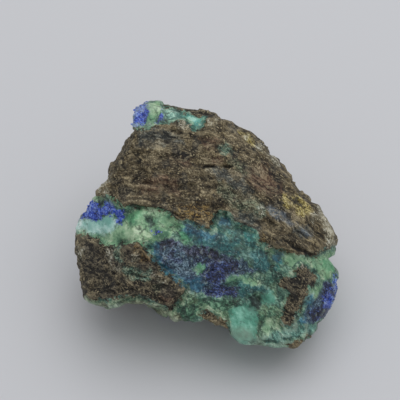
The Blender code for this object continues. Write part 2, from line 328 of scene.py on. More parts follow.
def stone_surface(directions):
    """The surface along each ray, in millimetres from the centre: the block, its relief out of the face or along the
    ray, and chips and unevenness along the ray."""
    points = directions * broken_block(directions)[:, None]
    across, up, out = (points @ FACE.T).T
    in_front = smooth_step(out, -6.0, 4.0)
    relief = rock_relief(across, up, out, in_front)
    points = points + FACE[2] * (in_front * relief)[:, None]
    points = points + directions * ((1.0 - in_front) * (relief - PROUD_ROCK[0][1]))[:, None]
    rough = sum(chip_relief(points, *chip) for chip in BIG_CHIPS) * (1.0 - FACE_CALM * in_front)
    for size, seed, height in UNEVENNESS:
        rough = rough + soft_noise(points, size, seed) * height
    return points + directions * rough[:, None]


ahead = FACE[2:] + (0.01, 0.0, 0.0)
print("the display face is", np.linalg.norm(stone_surface(ahead), axis=1).round(1)[0], "mm from the centre")

# %% [markdown]
# ## A fine net around the stone
#
# A globe of latitude lines would pinch at its poles. The six grids of a box about the stone's size weld at their edges
# instead, and the ray through each of their points finds the stone. The squares come out about 0.4 mm wide, which is
# finer than a coarse sand grain.

# %% A box's six grids, welded
GRID_STEPS = (175, 155, 67)  # across, up and out: odd numbers, so that no ray runs straight along an axis
BOX = (34.0, 31.0, 20.0)


def welded_box(steps):
    """Six grids of whole numbers, one on each side of a box. Points that share their three numbers are one point, and
    each square's corners turn anticlockwise as seen from outside."""
    cells, squares, count = [], [], 0
    for axis, end in ((axis, end) for axis in range(3) for end in (0, steps[axis])):
        u, v = (other for other in range(3) if other != axis)
        side = np.full(((steps[u] + 1) * (steps[v] + 1), 3), end)
        side[:, u], side[:, v] = (grid.ravel() for grid in np.mgrid[: steps[u] + 1, : steps[v] + 1])
        row, column = (grid.ravel() for grid in np.mgrid[: steps[u], : steps[v]])
        corner = row * (steps[v] + 1) + column + count
        square = np.stack((corner, corner + steps[v] + 1, corner + steps[v] + 2, corner + 1), axis=1)
        squares.append(square[:, ::-1] if (end == 0) != (axis == 1) else square)
        cells.append(side)
        count += len(side)
    cells = np.concatenate(cells)
    _, first, index = np.unique(cells @ (1000000, 1000, 1), return_index=True, return_inverse=True)
    return cells[first], index.ravel()[np.concatenate(squares)]


cells, squares = welded_box(GRID_STEPS)
rays = (2.0 * cells / GRID_STEPS - 1.0) * BOX @ FACE
rays /= np.linalg.norm(rays, axis=1)[:, None]
skin = stone_surface(rays)
print(len(skin), "points and", len(squares) * 2, "triangles; size in mm", np.ptp(skin, axis=0).round(1))

# %% [markdown]
# ## Which mineral is where
#
# Copper minerals grow in films and crusts, one over another: azurite first, green malachite where it weathers, and
# chrysocolla where silica seeps in. Each has its patches on the display face, as outlines drawn in millimetres. A
# patch's edge is ragged because the map is warped by noise first. Behind the face no patch is drawn, so noise deals
# the minerals out there. A painted texture could hold the same patches, but outlines can move the relief too,
# and stay sharp however near one looks.

# %% Patches of the blue minerals
# Dull slate-blue azurite, the ground of the vein's middle.
AZURITE = (
    ((-13.1, -4.9), (-11.3, -3.6), (-9.0, -3.5), (-7.2, -4.3), (-5.5, -5.6), (-4.2, -5.3), (-1.6, -4.9), (1.0, -6.2),
     (3.6, -7.5), (6.2, -7.5), (8.2, -8.5), (10.5, -9.5), (11.4, -10.8), (12.7, -11.4), (11.4, -12.7), (9.5, -12.4),
     (7.2, -12.4), (4.9, -14.0), (4.3, -15.0), (6.2, -15.3), (8.2, -16.0), (7.9, -18.3), (4.3, -18.4), (0.4, -18.1),
     (-0.6, -17.0), (-2.5, -17.0), (-5.1, -15.7), (-6.8, -14.0), (-9.0, -12.4), (-11.0, -10.8), (-12.3, -9.5),
     (-13.3, -7.9), (-13.6, -6.2)),
    ((30.6, -14.4), (32.2, -13.7), (34.2, -15.0), (34.8, -19.2), (32.9, -22.5), (29.6, -24.4), (27.7, -24.9),
     (25.1, -25.4), (25.7, -22.8), (27.0, -20.2), (29.0, -18.6), (30.0, -16.0)),
)
# Thin royal-blue crusts that catch the light.
VIVID = (
    ((-34.1, 1.6), (-32.4, 2.9), (-31.3, 4.7), (-31.1, 6.5), (-29.6, 6.6), (-28.3, 6.1), (-27.7, 5.1), (-26.8, 5.5),
     (-26.4, 6.5), (-25.2, 6.8), (-24.2, 6.2), (-23.7, 5.2), (-23.5, 4.2), (-22.6, 4.4), (-21.3, 4.4), (-20.8, 3.8),
     (-21.1, 2.9), (-21.3, 1.6), (-22.1, 0.4), (-23.3, 0.8), (-23.1, 1.8), (-23.9, 2.9), (-25.5, 2.9), (-26.5, 2.6),
     (-27.8, 1.8), (-29.4, 1.6), (-30.4, 1.8), (-31.5, 1.8)),
    ((-14.2, -1.0), (-12.2, -1.0), (-11.8, -1.8), (-13.3, -2.1)),
    ((-19.4, 25.6), (-19.4, 29.2), (-18.1, 32.1), (-16.5, 32.8), (-15.0, 32.1), (-15.0, 29.2), (-15.5, 27.6),
     (-16.5, 26.3), (-18.5, 26.1)),
    ((-11.3, 30.5), (-10.9, 29.8), (-11.4, 28.5), (-11.2, 27.7), (-12.6, 26.8), (-13.3, 27.2), (-12.6, 28.2),
     (-11.8, 28.9)),
    ((32.9, -12.6), (33.6, -12.2), (34.4, -14.5), (34.4, -17.8), (33.4, -18.2), (33.2, -15.2)),
    ((31.6, -17.2), (33.0, -17.8), (33.2, -20.3), (31.2, -21.6), (30.4, -19.6)),
)
# Thick azurite, nearly black blue.
DEEP = (
    ((-0.3, -10.1), (3.0, -9.2), (6.2, -9.2), (8.5, -9.5), (7.9, -11.4), (5.6, -12.4), (4.3, -14.0), (3.0, -15.3),
     (1.0, -15.0), (-0.6, -12.7)),
    ((-0.1, -16.3), (1.4, -15.7), (4.3, -15.7), (6.2, -15.3), (8.2, -16.0), (7.9, -18.2), (4.3, -18.4), (0.3, -18.0)),
    ((31.0, -15.0), (32.6, -14.7), (34.2, -16.0), (34.2, -19.2), (32.9, -21.2), (31.4, -22.8), (29.6, -24.6),
     (27.4, -24.6), (27.0, -22.2), (29.0, -21.0), (30.3, -18.8), (30.6, -17.0)),
)
# Petrol-blue films, where azurite turns to chrysocolla.
PETROL = (
    ((-15.3, -5.0), (-14.2, -8.2), (-11.2, -11.9), (-7.6, -16.6), (-4.2, -17.0), (-5.9, -14.4), (-9.4, -10.6),
     (-12.2, -6.8), (-12.9, -4.3)),
    ((-5.7, 1.1), (-1.4, 1.1), (1.5, -1.1), (2.9, -3.2), (0.0, -3.9), (-1.4, -3.2), (-3.9, -2.5), (-6.1, -1.1)),
    ((2.0, 2.8), (5.8, 2.4), (6.6, 0.6), (3.6, 0.0), (2.0, 0.8)),
    ((-8.6, -12.2), (-5.0, -14.0), (-0.9, -13.1), (-0.5, -16.6), (-3.9, -16.6), (-7.2, -15.1)),
    ((17.8, -6.6), (20.2, -6.9), (19.9, -9.3), (18.5, -10.4), (17.6, -9.0)),
    ((23.7, -23.4), (26.4, -23.8), (26.4, -25.1), (23.9, -24.8)),
    ((25.8, -18.2), (27.4, -17.4), (28.2, -19.4), (27.0, -21.6), (25.6, -20.6)),
)
# Thin cyan films of chrysocolla.
CYAN = (
    ((9.4, -0.7), (13.0, -1.2), (13.0, -3.2), (10.2, -3.0)),
    ((-15.9, -4.6), (-13.8, -4.7), (-13.6, -7.0), (-14.6, -7.6)),
    ((-6.4, 29.6), (-3.7, 29.0), (-1.2, 28.6), (0.2, 27.7), (-1.3, 25.2), (-3.2, 25.4), (-4.2, 27.4), (-6.6, 28.3)),
    ((18.0, -9.6), (19.4, -9.2), (19.2, -10.8), (18.2, -10.6)),
)
# Violet-black bands at the azurite's upper edge.
INK = (
    ((-13.1, -4.9), (-11.3, -3.6), (-9.0, -3.4), (-7.1, -4.3), (-8.1, -5.6), (-10.0, -4.9), (-11.6, -6.0),
     (-12.9, -5.9)),
    ((-6.8, -6.2), (-4.5, -4.9), (-1.6, -5.4), (1.0, -6.4), (3.6, -7.6), (6.9, -7.8), (7.2, -9.2), (4.9, -9.5),
     (1.7, -8.8), (-1.6, -8.0), (-4.5, -7.5)),
)
# Fine mixtures of chrysocolla and malachite.
TEAL = (
    ((-5.8, -0.7), (-4.2, 1.2), (-1.9, 0.9), (-0.3, -0.4), (2.3, -1.4), (3.0, -3.0), (1.0, -4.0), (3.0, -4.9),
     (1.0, -6.2), (-1.6, -4.9), (-3.5, -4.3), (-5.5, -3.0)),
    ((1.0, -1.0), (3.0, -1.7), (7.2, -2.3), (9.5, -2.3), (12.7, -3.0), (13.4, -4.3), (14.0, -6.2), (15.7, -7.9),
     (17.0, -9.5), (15.7, -12.1), (12.7, -11.4), (10.5, -9.5), (8.2, -8.2), (3.6, -7.2), (1.0, -6.2), (-0.3, -4.3),
     (1.0, -3.0)),
    ((1.7, 2.2), (3.0, 3.5), (5.9, 3.2), (9.5, 0.3), (13.1, -0.6), (13.4, -3.0), (9.5, -3.0), (3.0, -2.0),
     (1.0, -1.0)),
    ((-15.3, -5.2), (-14.0, -4.8), (-13.3, -5.2), (-13.3, -6.8), (-12.5, -8.3), (-11.2, -9.9), (-10.1, -10.9),
     (-8.6, -12.5), (-6.8, -14.0), (-4.9, -15.6), (-3.1, -16.6), (-4.2, -17.4), (-5.7, -16.4), (-7.8, -14.0),
     (-10.4, -12.2), (-12.5, -10.4), (-13.5, -8.8), (-14.6, -7.0)),
    ((17.3, -6.6), (19.2, -6.2), (20.3, -7.5), (19.6, -9.5), (18.3, -10.2), (17.6, -8.2)),
    ((22.8, -25.4), (25.7, -22.2), (26.7, -23.1), (29.0, -24.6), (27.0, -25.6), (24.4, -25.9)),
    ((8.2, -14.0), (11.4, -14.4), (14.7, -15.3), (17.0, -17.0), (15.3, -17.3), (12.7, -17.3), (9.5, -19.2),
     (8.2, -17.9)),
)
BLUES = (AZURITE, VIVID, DEEP, PETROL, CYAN, INK, TEAL)
print("the blue minerals have", sum(map(len, BLUES)), "patches")

# %% Patches of the green minerals, and of dark hollows
# Grainy green malachite.
MALACHITE = (
    ((-34.5, -1.0), (-30.0, -1.6), (-26.8, -1.4), (-24.6, -0.6), (-23.1, 0.7), (-21.3, 0.8), (-21.1, 2.6),
     (-19.8, 3.8), (-17.9, 5.6), (-15.9, 5.8), (-13.8, 5.6), (-11.7, 4.9), (-9.6, 3.9), (-8.0, 2.2), (-6.9, 0.6),
     (-7.0, -1.0), (-8.1, -2.1), (-9.6, -2.7), (-11.2, -3.4), (-12.7, -4.0), (-14.3, -4.6), (-15.5, -5.6),
     (-17.9, -5.8), (-20.0, -5.8), (-22.1, -6.8), (-24.2, -6.8), (-26.7, -6.2), (-34.5, -3.6)),
    ((-31.2, 9.4), (-28.1, 9.4), (-27.2, 7.5), (-28.6, 6.5), (-30.6, 6.2)),
    ((-25.4, 8.6), (-22.4, 8.0), (-18.6, 5.6), (-19.6, 4.0), (-22.6, 4.4), (-23.6, 5.4), (-25.2, 6.9)),
    ((-15.9, -5.5), (-14.5, -6.7), (-13.5, -8.8), (-12.4, -10.3), (-10.3, -11.9), (-8.5, -12.9), (-7.5, -14.2),
     (-6.2, -15.3), (-5.3, -16.4), (-6.0, -16.8), (-8.3, -14.2), (-10.7, -12.6), (-12.9, -11.1), (-14.2, -8.8),
     (-15.2, -7.4)),
    ((15.7, -5.9), (17.6, -6.2), (19.2, -6.9), (21.2, -7.2), (23.8, -7.9), (25.7, -7.9), (28.3, -7.9), (30.9, -6.9),
     (33.5, -6.2), (33.5, -11.4), (30.9, -14.4), (29.3, -13.7), (28.3, -11.8), (26.4, -10.1), (23.8, -9.5),
     (21.8, -10.1), (20.2, -9.5), (17.0, -7.5)),
    ((4.5, -14.9), (5.2, -13.4), (7.2, -12.5), (8.8, -12.3), (11.4, -13.3), (14.0, -14.2), (14.9, -15.5),
     (12.7, -15.1), (10.1, -14.2), (8.2, -13.6), (6.2, -14.5)),
    ((26.4, -17.0), (29.0, -15.0), (30.3, -15.3), (29.0, -18.6), (26.7, -20.2), (25.7, -19.2)),
    ((-14.9, 32.1), (-12.6, 32.1), (-11.3, 30.5), (-11.5, 29.2), (-12.6, 27.6), (-13.9, 26.6), (-15.5, 26.3),
     (-15.4, 28.2), (-14.9, 29.2)),
)
# Smooth pale turquoise chrysocolla at the left edge.
CHRYSOCOLLA = (
    ((-34.9, 1.0), (-31.5, 1.6), (-29.1, 1.6), (-26.5, 2.5), (-24.2, 2.8), (-22.9, 0.9), (-23.4, -0.6),
     (-25.2, -1.9), (-26.8, -2.4), (-28.9, -2.3), (-30.9, -1.8), (-34.9, -1.4)),
)
# The big waxy boss, and a small one above it.
WAXY = (
    ((6.2, -22.5), (7.5, -21.2), (10.1, -20.2), (12.1, -20.5), (13.4, -22.5), (13.1, -25.7), (12.7, -28.7),
     (10.8, -30.9), (8.2, -30.9), (6.2, -28.7), (5.9, -25.7)),
    ((14.4, -17.4), (16.6, -16.9), (18.0, -18.0), (17.8, -19.9), (16.0, -20.4), (14.2, -19.4)),
)
# Sea-green crusts along the top corner and the lower lip.
SEA_GREEN = (
    ((-11.0, 30.8), (-7.7, 30.2), (-6.1, 29.2), (-4.2, 28.7), (0.4, 28.4), (-0.9, 26.9), (-1.6, 25.5), (-2.9, 25.7),
     (-3.5, 27.2), (-6.1, 28.2), (-7.7, 27.6), (-10.0, 27.6), (-11.3, 27.9), (-11.1, 29.5)),
    ((14.4, -29.0), (16.0, -27.4), (19.2, -26.7), (22.5, -26.4), (25.7, -25.4), (29.0, -25.1), (28.3, -26.9),
     (25.7, -28.3), (22.5, -29.6), (18.6, -30.1), (15.3, -30.3)),
)
# Dark green malachite in shallow hollows.
DUSKY = (
    ((-5.8, -17.9), (-4.2, -17.6), (-1.6, -18.6), (1.0, -19.2), (4.3, -18.8), (7.9, -18.6), (9.5, -19.2),
     (7.9, -20.9), (6.2, -22.5), (5.9, -25.1), (3.0, -22.8), (1.0, -21.8), (-1.6, -22.2), (-3.5, -25.1),
     (-6.1, -25.1), (-8.7, -23.5), (-10.3, -21.5), (-8.1, -20.5), (-6.8, -19.2)),
    ((13.4, -21.8), (14.7, -19.9), (17.9, -19.6), (18.9, -21.8), (19.1, -25.1), (16.6, -26.1), (14.0, -26.2),
     (13.4, -24.1)),
)
# Spots of leaf green.
BRIGHT = (
    ((-3.0, -10.3), (-1.8, -9.7), (-0.5, -10.6), (-0.8, -11.9), (-2.1, -12.4), (-3.2, -11.6)),
    ((-7.6, 0.6), (-5.9, 0.8), (-5.6, -0.5), (-7.0, -0.8)),
    ((29.2, -9.0), (31.4, -8.0), (33.8, -8.4), (33.2, -10.8), (31.2, -12.0), (29.8, -11.2)),
    ((-6.4, -1.8), (-4.3, -2.0), (-3.6, -3.6), (-5.4, -4.2), (-6.6, -3.2)),
    ((-20.6, 2.4), (-17.6, 3.6), (-15.6, 3.2), (-17.4, 1.6), (-19.8, 1.0)),
)
# Malachite weathered to a pale mint.
MINT = (
    ((-27.0, -2.0), (-24.8, -0.9), (-22.6, 0.6), (-19.6, -0.2), (-17.0, -2.2), (-16.0, -4.6), (-19.0, -5.4),
     (-22.4, -4.8), (-25.0, -4.4)),
    ((17.8, -6.0), (20.6, -6.4), (24.0, -7.2), (27.2, -8.0), (26.6, -9.6), (22.6, -9.0), (19.4, -8.2)),
    ((15.6, -24.0), (17.2, -24.2), (17.6, -26.6), (16.0, -28.4), (14.6, -27.2)),
    ((-22.8, 6.8), (-20.8, 7.2), (-20.0, 5.6), (-21.8, 4.4)),
)
# The grey-green rind under the lower edge.
RIND = (
    ((-33.5, -14.0), (-31.5, -15.6), (-30.4, -17.2), (-28.1, -19.2), (-25.7, -20.0), (-24.2, -19.2), (-21.1, -17.7),
     (-18.5, -17.4), (-16.4, -18.7), (-13.8, -19.8), (-11.7, -19.8), (-10.4, -21.6), (-8.1, -20.0), (-5.5, -25.5),
     (-8.3, -25.5), (-13.3, -23.4), (-16.9, -21.6), (-20.0, -21.3), (-23.7, -21.8), (-26.8, -22.1), (-29.1, -21.6),
     (-32.0, -19.2), (-33.5, -16.6)),
)
# Little holes, with painted shade inside.
SHADED_HOLES = (
    ((-28.1, 6.8), (-26.3, 7.0), (-26.4, 5.5), (-27.2, 4.9), (-27.9, 5.5)),
    ((-29.2, 3.9), (-28.5, 4.3), (-28.3, 3.2), (-28.9, 2.5)),
    ((-15.5, 1.6), (-14.6, 2.9), (-13.5, 2.4), (-14.0, 1.3), (-13.5, 0.3), (-14.2, -0.3), (-15.1, 0.5)),
    ((-20.0, 5.5), (-18.5, 5.5), (-16.8, 5.1), (-17.1, 4.4), (-19.0, 4.2), (-20.0, 4.7)),
    ((11.4, -18.3), (12.7, -17.6), (14.0, -18.8), (14.3, -20.2), (13.4, -21.8), (11.8, -19.9)),
)
GREENS = (MALACHITE, CHRYSOCOLLA, WAXY, SEA_GREEN, DUSKY, BRIGHT, MINT, RIND, SHADED_HOLES)
print("the green minerals have", sum(map(len, GREENS)), "patches")

# %% Rock at the edges, and what stains the rock
# Rock that shows under the lower edge and over the top one.
FOOT_ROCK = (
    ((-1.4, -21.8), (1.0, -22.1), (3.7, -23.4), (5.0, -24.7), (6.1, -27.0), (5.3, -28.0), (3.0, -26.1), (0.4, -24.6),
     (-1.4, -23.3)),
    ((-10.7, 32.1), (-2.9, 32.1), (5.3, 30.5), (4.1, 28.0), (2.0, 28.2), (0.4, 28.5), (-4.2, 28.9), (-6.1, 29.3),
     (-7.7, 30.3), (-10.7, 30.9)),
    ((21.6, -30.4), (24.6, -29.6), (27.2, -28.2), (28.2, -28.8), (26.0, -32.6), (21.6, -32.6)),
)
# Orange-brown iron ochre.
OCHRE = (
    ((-20.9, -4.6), (-18.5, -4.3), (-16.3, -5.6), (-14.4, -8.6), (-16.6, -9.8), (-17.6, -8.0), (-20.2, -6.6)),
    ((-9.0, 2.2), (-8.1, 4.8), (-5.5, 5.8), (-2.2, 5.8), (1.0, 4.8), (1.7, 2.5), (1.0, 0.3), (-0.3, 0.3),
     (-2.2, 1.6), (-4.5, 1.9), (-6.8, 1.9)),
    ((14.0, -2.0), (15.3, -2.3), (16.0, -4.9), (17.6, -5.9), (21.2, -6.9), (20.5, -7.5), (16.3, -6.2), (14.4, -4.9)),
)
# Powdery yellow limonite.
YELLOW = (
    ((22.6, 7.4), (24.4, 8.0), (26.6, 6.2), (27.4, 3.8), (25.9, 2.6), (24.0, 3.0), (22.8, 4.7)),
    ((8.2, 24.6), (10.8, 23.6), (13.4, 21.2), (14.6, 19.4), (12.4, 20.0), (10.2, 22.2)),
    ((20.0, 8.2), (22.0, 7.6), (23.0, 5.2), (21.2, 4.4), (19.9, 5.9)),
)
# Purple-brown rust.
RUST = (
    ((-21.1, -4.4), (-18.5, -4.2), (-16.1, -5.5), (-13.8, -8.8), (-14.0, -10.1), (-16.4, -10.4), (-17.4, -8.3),
     (-20.0, -6.8), (-21.6, -6.2)),
    ((-1.6, 22.7), (3.3, 22.7), (3.6, 20.7), (0.4, 20.1), (-1.2, 21.1)),
    ((-9.7, 18.5), (-4.5, 18.5), (-4.2, 15.9), (-8.7, 15.9)),
    ((0.7, 18.1), (4.3, 18.1), (4.3, 16.2), (1.4, 16.2)),
    ((-17.8, 10.7), (-12.6, 13.3), (-7.4, 12.0), (-6.8, 8.1), (-12.6, 8.1), (-17.2, 8.4)),
    ((10.4, 15.3), (15.3, 16.0), (19.5, 11.6), (21.0, 8.2), (17.0, 7.4), (13.4, 9.4), (11.0, 11.4)),
    ((-12.2, -17.7), (-9.4, -16.6), (-8.3, -19.2), (-10.1, -21.1), (-11.7, -19.5)),
)
# Dark grey-green films.
STAIN = (
    ((-18.5, 24.7), (-12.7, 25.4), (-7.4, 23.9), (-5.8, 21.4), (-12.0, 20.7), (-17.3, 20.9)),
    ((0.3, 15.3), (4.9, 14.9), (9.5, 12.6), (12.5, 8.8), (11.0, 7.4), (7.9, 9.4), (4.1, 12.2), (0.7, 13.9)),
    ((23.5, 0.3), (26.4, -0.4), (28.0, -2.4), (25.1, -3.3), (22.5, -1.4)),
    ((5.8, 3.6), (8.4, 4.2), (12.7, 3.2), (14.4, 0.3), (13.8, -2.2), (9.4, -0.4), (6.8, 1.6)),
)
# Bleached beds.
TAN = (
    ((-2.9, 11.6), (1.7, 11.6), (2.0, 10.0), (-0.9, 9.0), (-2.5, 10.0)),
    ((-24.3, 8.5), (-19.4, 8.4), (-14.1, 7.1), (-15.8, 5.4), (-21.0, 6.1)),
    ((-16.4, 19.4), (-10.4, 17.8), (-9.1, 16.1), (-14.8, 16.4)),
)
# Blue-grey films.
SLATE = (
    ((15.2, 5.4), (17.6, 5.6), (20.2, 4.4), (21.8, 2.6), (23.6, 0.8), (22.0, 0.0), (19.2, 1.4), (16.4, 3.2)),
    ((24.4, -0.8), (27.2, -1.8), (27.4, -3.0), (25.0, -2.2)),
)
# Sooty manganese oxide.
SOOT = (
    ((-32.8, -5.5), (-30.5, -4.5), (-27.9, -5.2), (-26.9, -9.0), (-27.2, -13.5), (-29.8, -14.5), (-31.7, -11.0)),
    ((-23.4, -9.0), (-18.6, -9.4), (-17.8, -10.6), (-22.0, -10.4)),
    ((-12.6, -15.6), (-9.2, -15.4), (-8.4, -18.6), (-11.2, -18.4)),
)
# A thin green copper stain.
PATINA = (
    ((3.3, 20.6), (4.6, 21.5), (6.2, 20.9), (6.3, 19.0), (5.1, 17.9), (3.7, 18.7)),
    ((13.0, 5.2), (14.8, 5.6), (15.8, 4.3), (14.6, 3.2), (13.0, 3.7)),
    ((-21.6, -10.5), (-17.9, -11.2), (-14.6, -11.6), (-14.5, -13.9), (-18.6, -13.9), (-21.4, -12.6)),
    ((-23.7, -5.0), (-22.3, -5.0), (-22.0, -9.0), (-23.8, -8.8)),
    ((-29.4, 12.6), (-28.0, 13.6), (-26.6, 12.4), (-27.8, 10.6)),
)
# Mottled olive rock.
MOSS = (
    ((3.3, 11.3), (6.9, 10.7), (10.1, 9.4), (13.4, 7.1), (15.3, 4.8), (15.3, 2.9), (11.4, 1.2), (7.9, 2.9),
     (4.9, 6.1), (3.0, 8.7)),
    ((3.0, 21.1), (5.6, 21.7), (6.2, 19.4), (4.6, 18.5), (3.3, 19.1)),
    ((5.6, 17.8), (10.1, 15.9), (12.4, 14.6), (11.4, 12.6), (7.5, 14.6)),
    ((-21.7, -10.9), (-20.0, -10.0), (-16.9, -10.8), (-14.0, -11.8), (-14.6, -13.5), (-17.4, -13.0), (-20.5, -13.3),
     (-21.7, -12.5)),
    ((-23.7, -6.2), (-22.1, -5.6), (-22.0, -7.8), (-23.5, -8.6)),
    ((-13.8, -14.0), (-11.7, -14.6), (-11.2, -17.2), (-13.3, -17.4)),
)
# Chalky flecks.
PALE = (
    ((-7.6, 26.5), (-6.1, 27.1), (-4.1, 26.6), (-3.2, 25.2), (-4.8, 25.1), (-6.5, 25.2)),
    ((0.4, 27.2), (2.7, 27.7), (3.0, 26.6), (1.0, 26.3)),
    ((9.6, 23.2), (10.6, 23.4), (10.9, 22.4), (9.9, 22.4)),
    ((12.8, 21.4), (15.4, 21.4), (15.0, 19.8), (13.0, 20.0)),
    ((16.2, 19.4), (17.6, 18.8), (19.2, 16.4), (18.8, 15.6), (17.2, 17.0)),
    ((29.2, 6.2), (31.4, 3.8), (33.4, -1.0), (34.0, -7.2), (32.2, -7.4), (31.4, -2.6), (30.0, 1.4), (28.6, 4.6)),
    ((27.0, 3.4), (28.4, 3.0), (28.8, 1.4), (27.6, 1.2)),
    ((-28.9, 10.0), (-26.9, 12.3), (-25.0, 12.9), (-25.3, 11.3), (-27.6, 9.0)),
    ((13.4, 5.1), (14.7, 5.5), (15.0, 3.8), (13.7, 3.5)),
    ((15.7, -4.9), (17.3, -5.3), (17.6, -6.2), (16.0, -6.2)),
    ((23.1, -9.5), (25.1, -9.5), (25.7, -10.5), (24.1, -10.8)),
    ((-19.6, -7.5), (-18.5, -7.0), (-17.4, -7.8), (-17.7, -9.4), (-18.7, -8.9)),
    ((-24.2, -10.6), (-22.6, -10.6), (-22.6, -11.8), (-23.9, -11.5)),
    ((-26.1, -6.0), (-25.0, -6.2), (-24.6, -9.4), (-25.5, -10.5), (-25.8, -8.3)),
    ((-33.3, -5.5), (-31.8, -6.0), (-32.0, -7.5), (-32.8, -9.4), (-33.4, -8.6)),
    ((-13.8, -12.5), (-11.7, -13.0), (-9.5, -14.1), (-10.1, -14.4), (-12.2, -13.6)),
    ((-26.8, 8.8), (-25.7, 9.1), (-25.5, 8.1), (-26.4, 7.8)),
)
STAINS = (OCHRE, YELLOW, RUST, STAIN, TAN, SLATE, SOOT, PATINA, MOSS, PALE)
print("the rock's stains have", sum(map(len, STAINS)), "patches")

# %% The way the skin faces
def skin_normals(points, squares):
    """Each point's normal: the sum of its squares' normals, where a square's is the cross product of its diagonals."""
    a, b, c, d = (points[squares[:, corner]] for corner in range(4))
    face = np.cross(c - a, d - b)
    total = np.stack([
        sum(np.bincount(squares[:, corner], face[:, axis], len(points)) for corner in range(4)) for axis in range(3)
    ], axis=1)
    return total / np.linalg.norm(total, axis=1)[:, None]


facing = skin_normals(skin, squares)
print(f"{100 * (facing[:, 2] < 0).mean():.0f}% of the points face down")

# %% Each point's ragged place on the map, and how far it is in front
FRONT_OUT = (-10.0, -4.5)  # how far out, in mm, the outlines begin to count, and count in full
FRONT_FACING = (-0.45, 0.05)  # and the same for how nearly the skin faces the display face's way
across, up, out = (skin @ FACE.T).T
place, _ = vein_place(across, up, out)
ragged = [soft_noise(skin, 2.6, seed) * 0.35 + soft_noise(skin, 1.1, seed + 1) * 0.25 for seed in (71, 75)]
place = place + np.stack(ragged, axis=1)
in_front = smooth_step(out + 2.5 * soft_noise(skin, 6.0, 193), *FRONT_OUT)
in_front *= smooth_step(facing @ FACE[2], *FRONT_FACING)
print(f"{100 * in_front.mean():.0f}% of the points take their mineral from the outlines")

# %% Fields: how deep in each mineral a point is
MOST = 3.0  # in mm, inside or outside a patch


def deepest(outlines):
    """How far inside any of these outlines each point is, in millimetres, and no more than 3 mm either way."""
    return np.clip(np.max([depth_inside(place, outline) for outline in outlines], axis=0), -MOST, MOST)


def dealt(size, seed, share):
    """Patches of noise that cover about that share of the surface, in the same units as deepest."""
    noise = soft_noise(skin, size, seed) + 0.5 * soft_noise(skin, size / 3.0, seed + 1)
    return np.clip((noise - np.quantile(noise, 1.0 - share)) * 5.0, -MOST, MOST)


def mineral_field(outlines, size, seed, share):
    """The outlines' depth on the display face, and patches of noise behind it."""
    return in_front * deepest(outlines) + (1.0 - in_front) * dealt(size, seed, share)


# name: its outlines, and the size in mm, the seed and the share of its noise behind the face
MINERALS = {
    "azurite": (AZURITE, 9.0, 81, 0.28),
    "vivid": (VIVID, 9.0, 81, 0.2),
    "deep": (DEEP, 7.0, 83, 0.3),
    "teal": (TEAL, 9.0, 85, 0.4),
    "chrysocolla": (CHRYSOCOLLA, 7.0, 87, 0.25),
    "waxy": (WAXY, 6.0, 86, 0.08),
    "petrol": (PETROL, 7.0, 183, 0.15),
    "cyan": (CYAN, 5.0, 185, 0.08),
    "ink": (INK, 5.0, 187, 0.2),
    "malachite": (MALACHITE, 6.0, 89, 0.35),
    "dusky": (DUSKY, 9.0, 84, 0.3),
    "sea": (SEA_GREEN, 5.0, 88, 0.12),
    "bright": (BRIGHT, 4.0, 82, 0.06),
    "mint": (MINT, 4.0, 195, 0.1),
    "rind": (RIND, 8.0, 98, 0.15),
    "dark": (SHADED_HOLES, 3.5, 99, 0.1),
    "umber": ((LUMP, PATCH, FOOT_ROCK[1]), 14.0, 90, 0.3),
    "ochre": (OCHRE, 10.0, 91, 0.2),
    "yellow": (YELLOW, 6.0, 94, 0.06),
    "rust": (RUST, 12.0, 92, 0.25),
    "stain": (STAIN, 8.0, 93, 0.15),
    "slate": (SLATE, 6.0, 189, 0.06),
    "patina": (PATINA, 5.0, 191, 0.06),
    "moss": (MOSS, 9.0, 95, 0.25),
    "pale": (PALE, 4.0, 97, 0.1),
}
fields = {"rock": deepest((SLAB, LUMP, PATCH) + FOOT_ROCK)}
for name, terms in MINERALS.items():
    fields[name] = mineral_field(*terms)
fields["azurite"] = np.maximum(fields["azurite"], fields["vivid"])
for name, field in fields.items():
    print(f"{name} covers {100 * (field > 0).mean():.0f}% of the points")

# %% Fields that noise deals out alone, or in the main
def inside(name, softness=0.3):
    """1 inside that field's patches and 0 outside, over a step that is twice the softness wide in mm."""
    return smooth_step(fields[name], -softness, softness)


RIM_OFFSET, RIM_WIDTH = 0.55, 0.25  # the pale rim's distance outside the rock, and half its width, in mm
is_umber = inside("umber", 0.5)
fields["soot"] = np.maximum(dealt(2.6, 171, 0.14) + 0.9 * is_umber - 0.2, in_front * deepest(SOOT))
fields["tan"] = np.maximum(dealt(3.6, 173, 0.2) - 0.8 * is_umber, in_front * deepest(TAN))
fields["sallow"] = dealt(3.4, 175, 0.25)
fields["verdant"] = dealt(4.2, 177, 0.3)
fields["rim"] = RIM_WIDTH - np.abs(fields["rock"] + RIM_OFFSET) + 0.8 * soft_noise(skin, 3.6, 179)
fields["haze"] = dealt(3.8, 181, 0.3)
print("there are", len(fields), "fields")

# %% [markdown]
# ## Fine relief
#
# A hand lens shows each mineral's own roughness: thin beds, chips and pits in the ironstone, low domes in malachite,
# and little but broad swellings in waxy chrysocolla. It is moved along the way the skin faces. A groove runs where
# the rock meets the vein, because the softer mineral weathers back first, and a few dark slits lie open along the
# beds. A bump in the material would be cheaper, but it leaves the outline smooth and is lost in a printed copy.

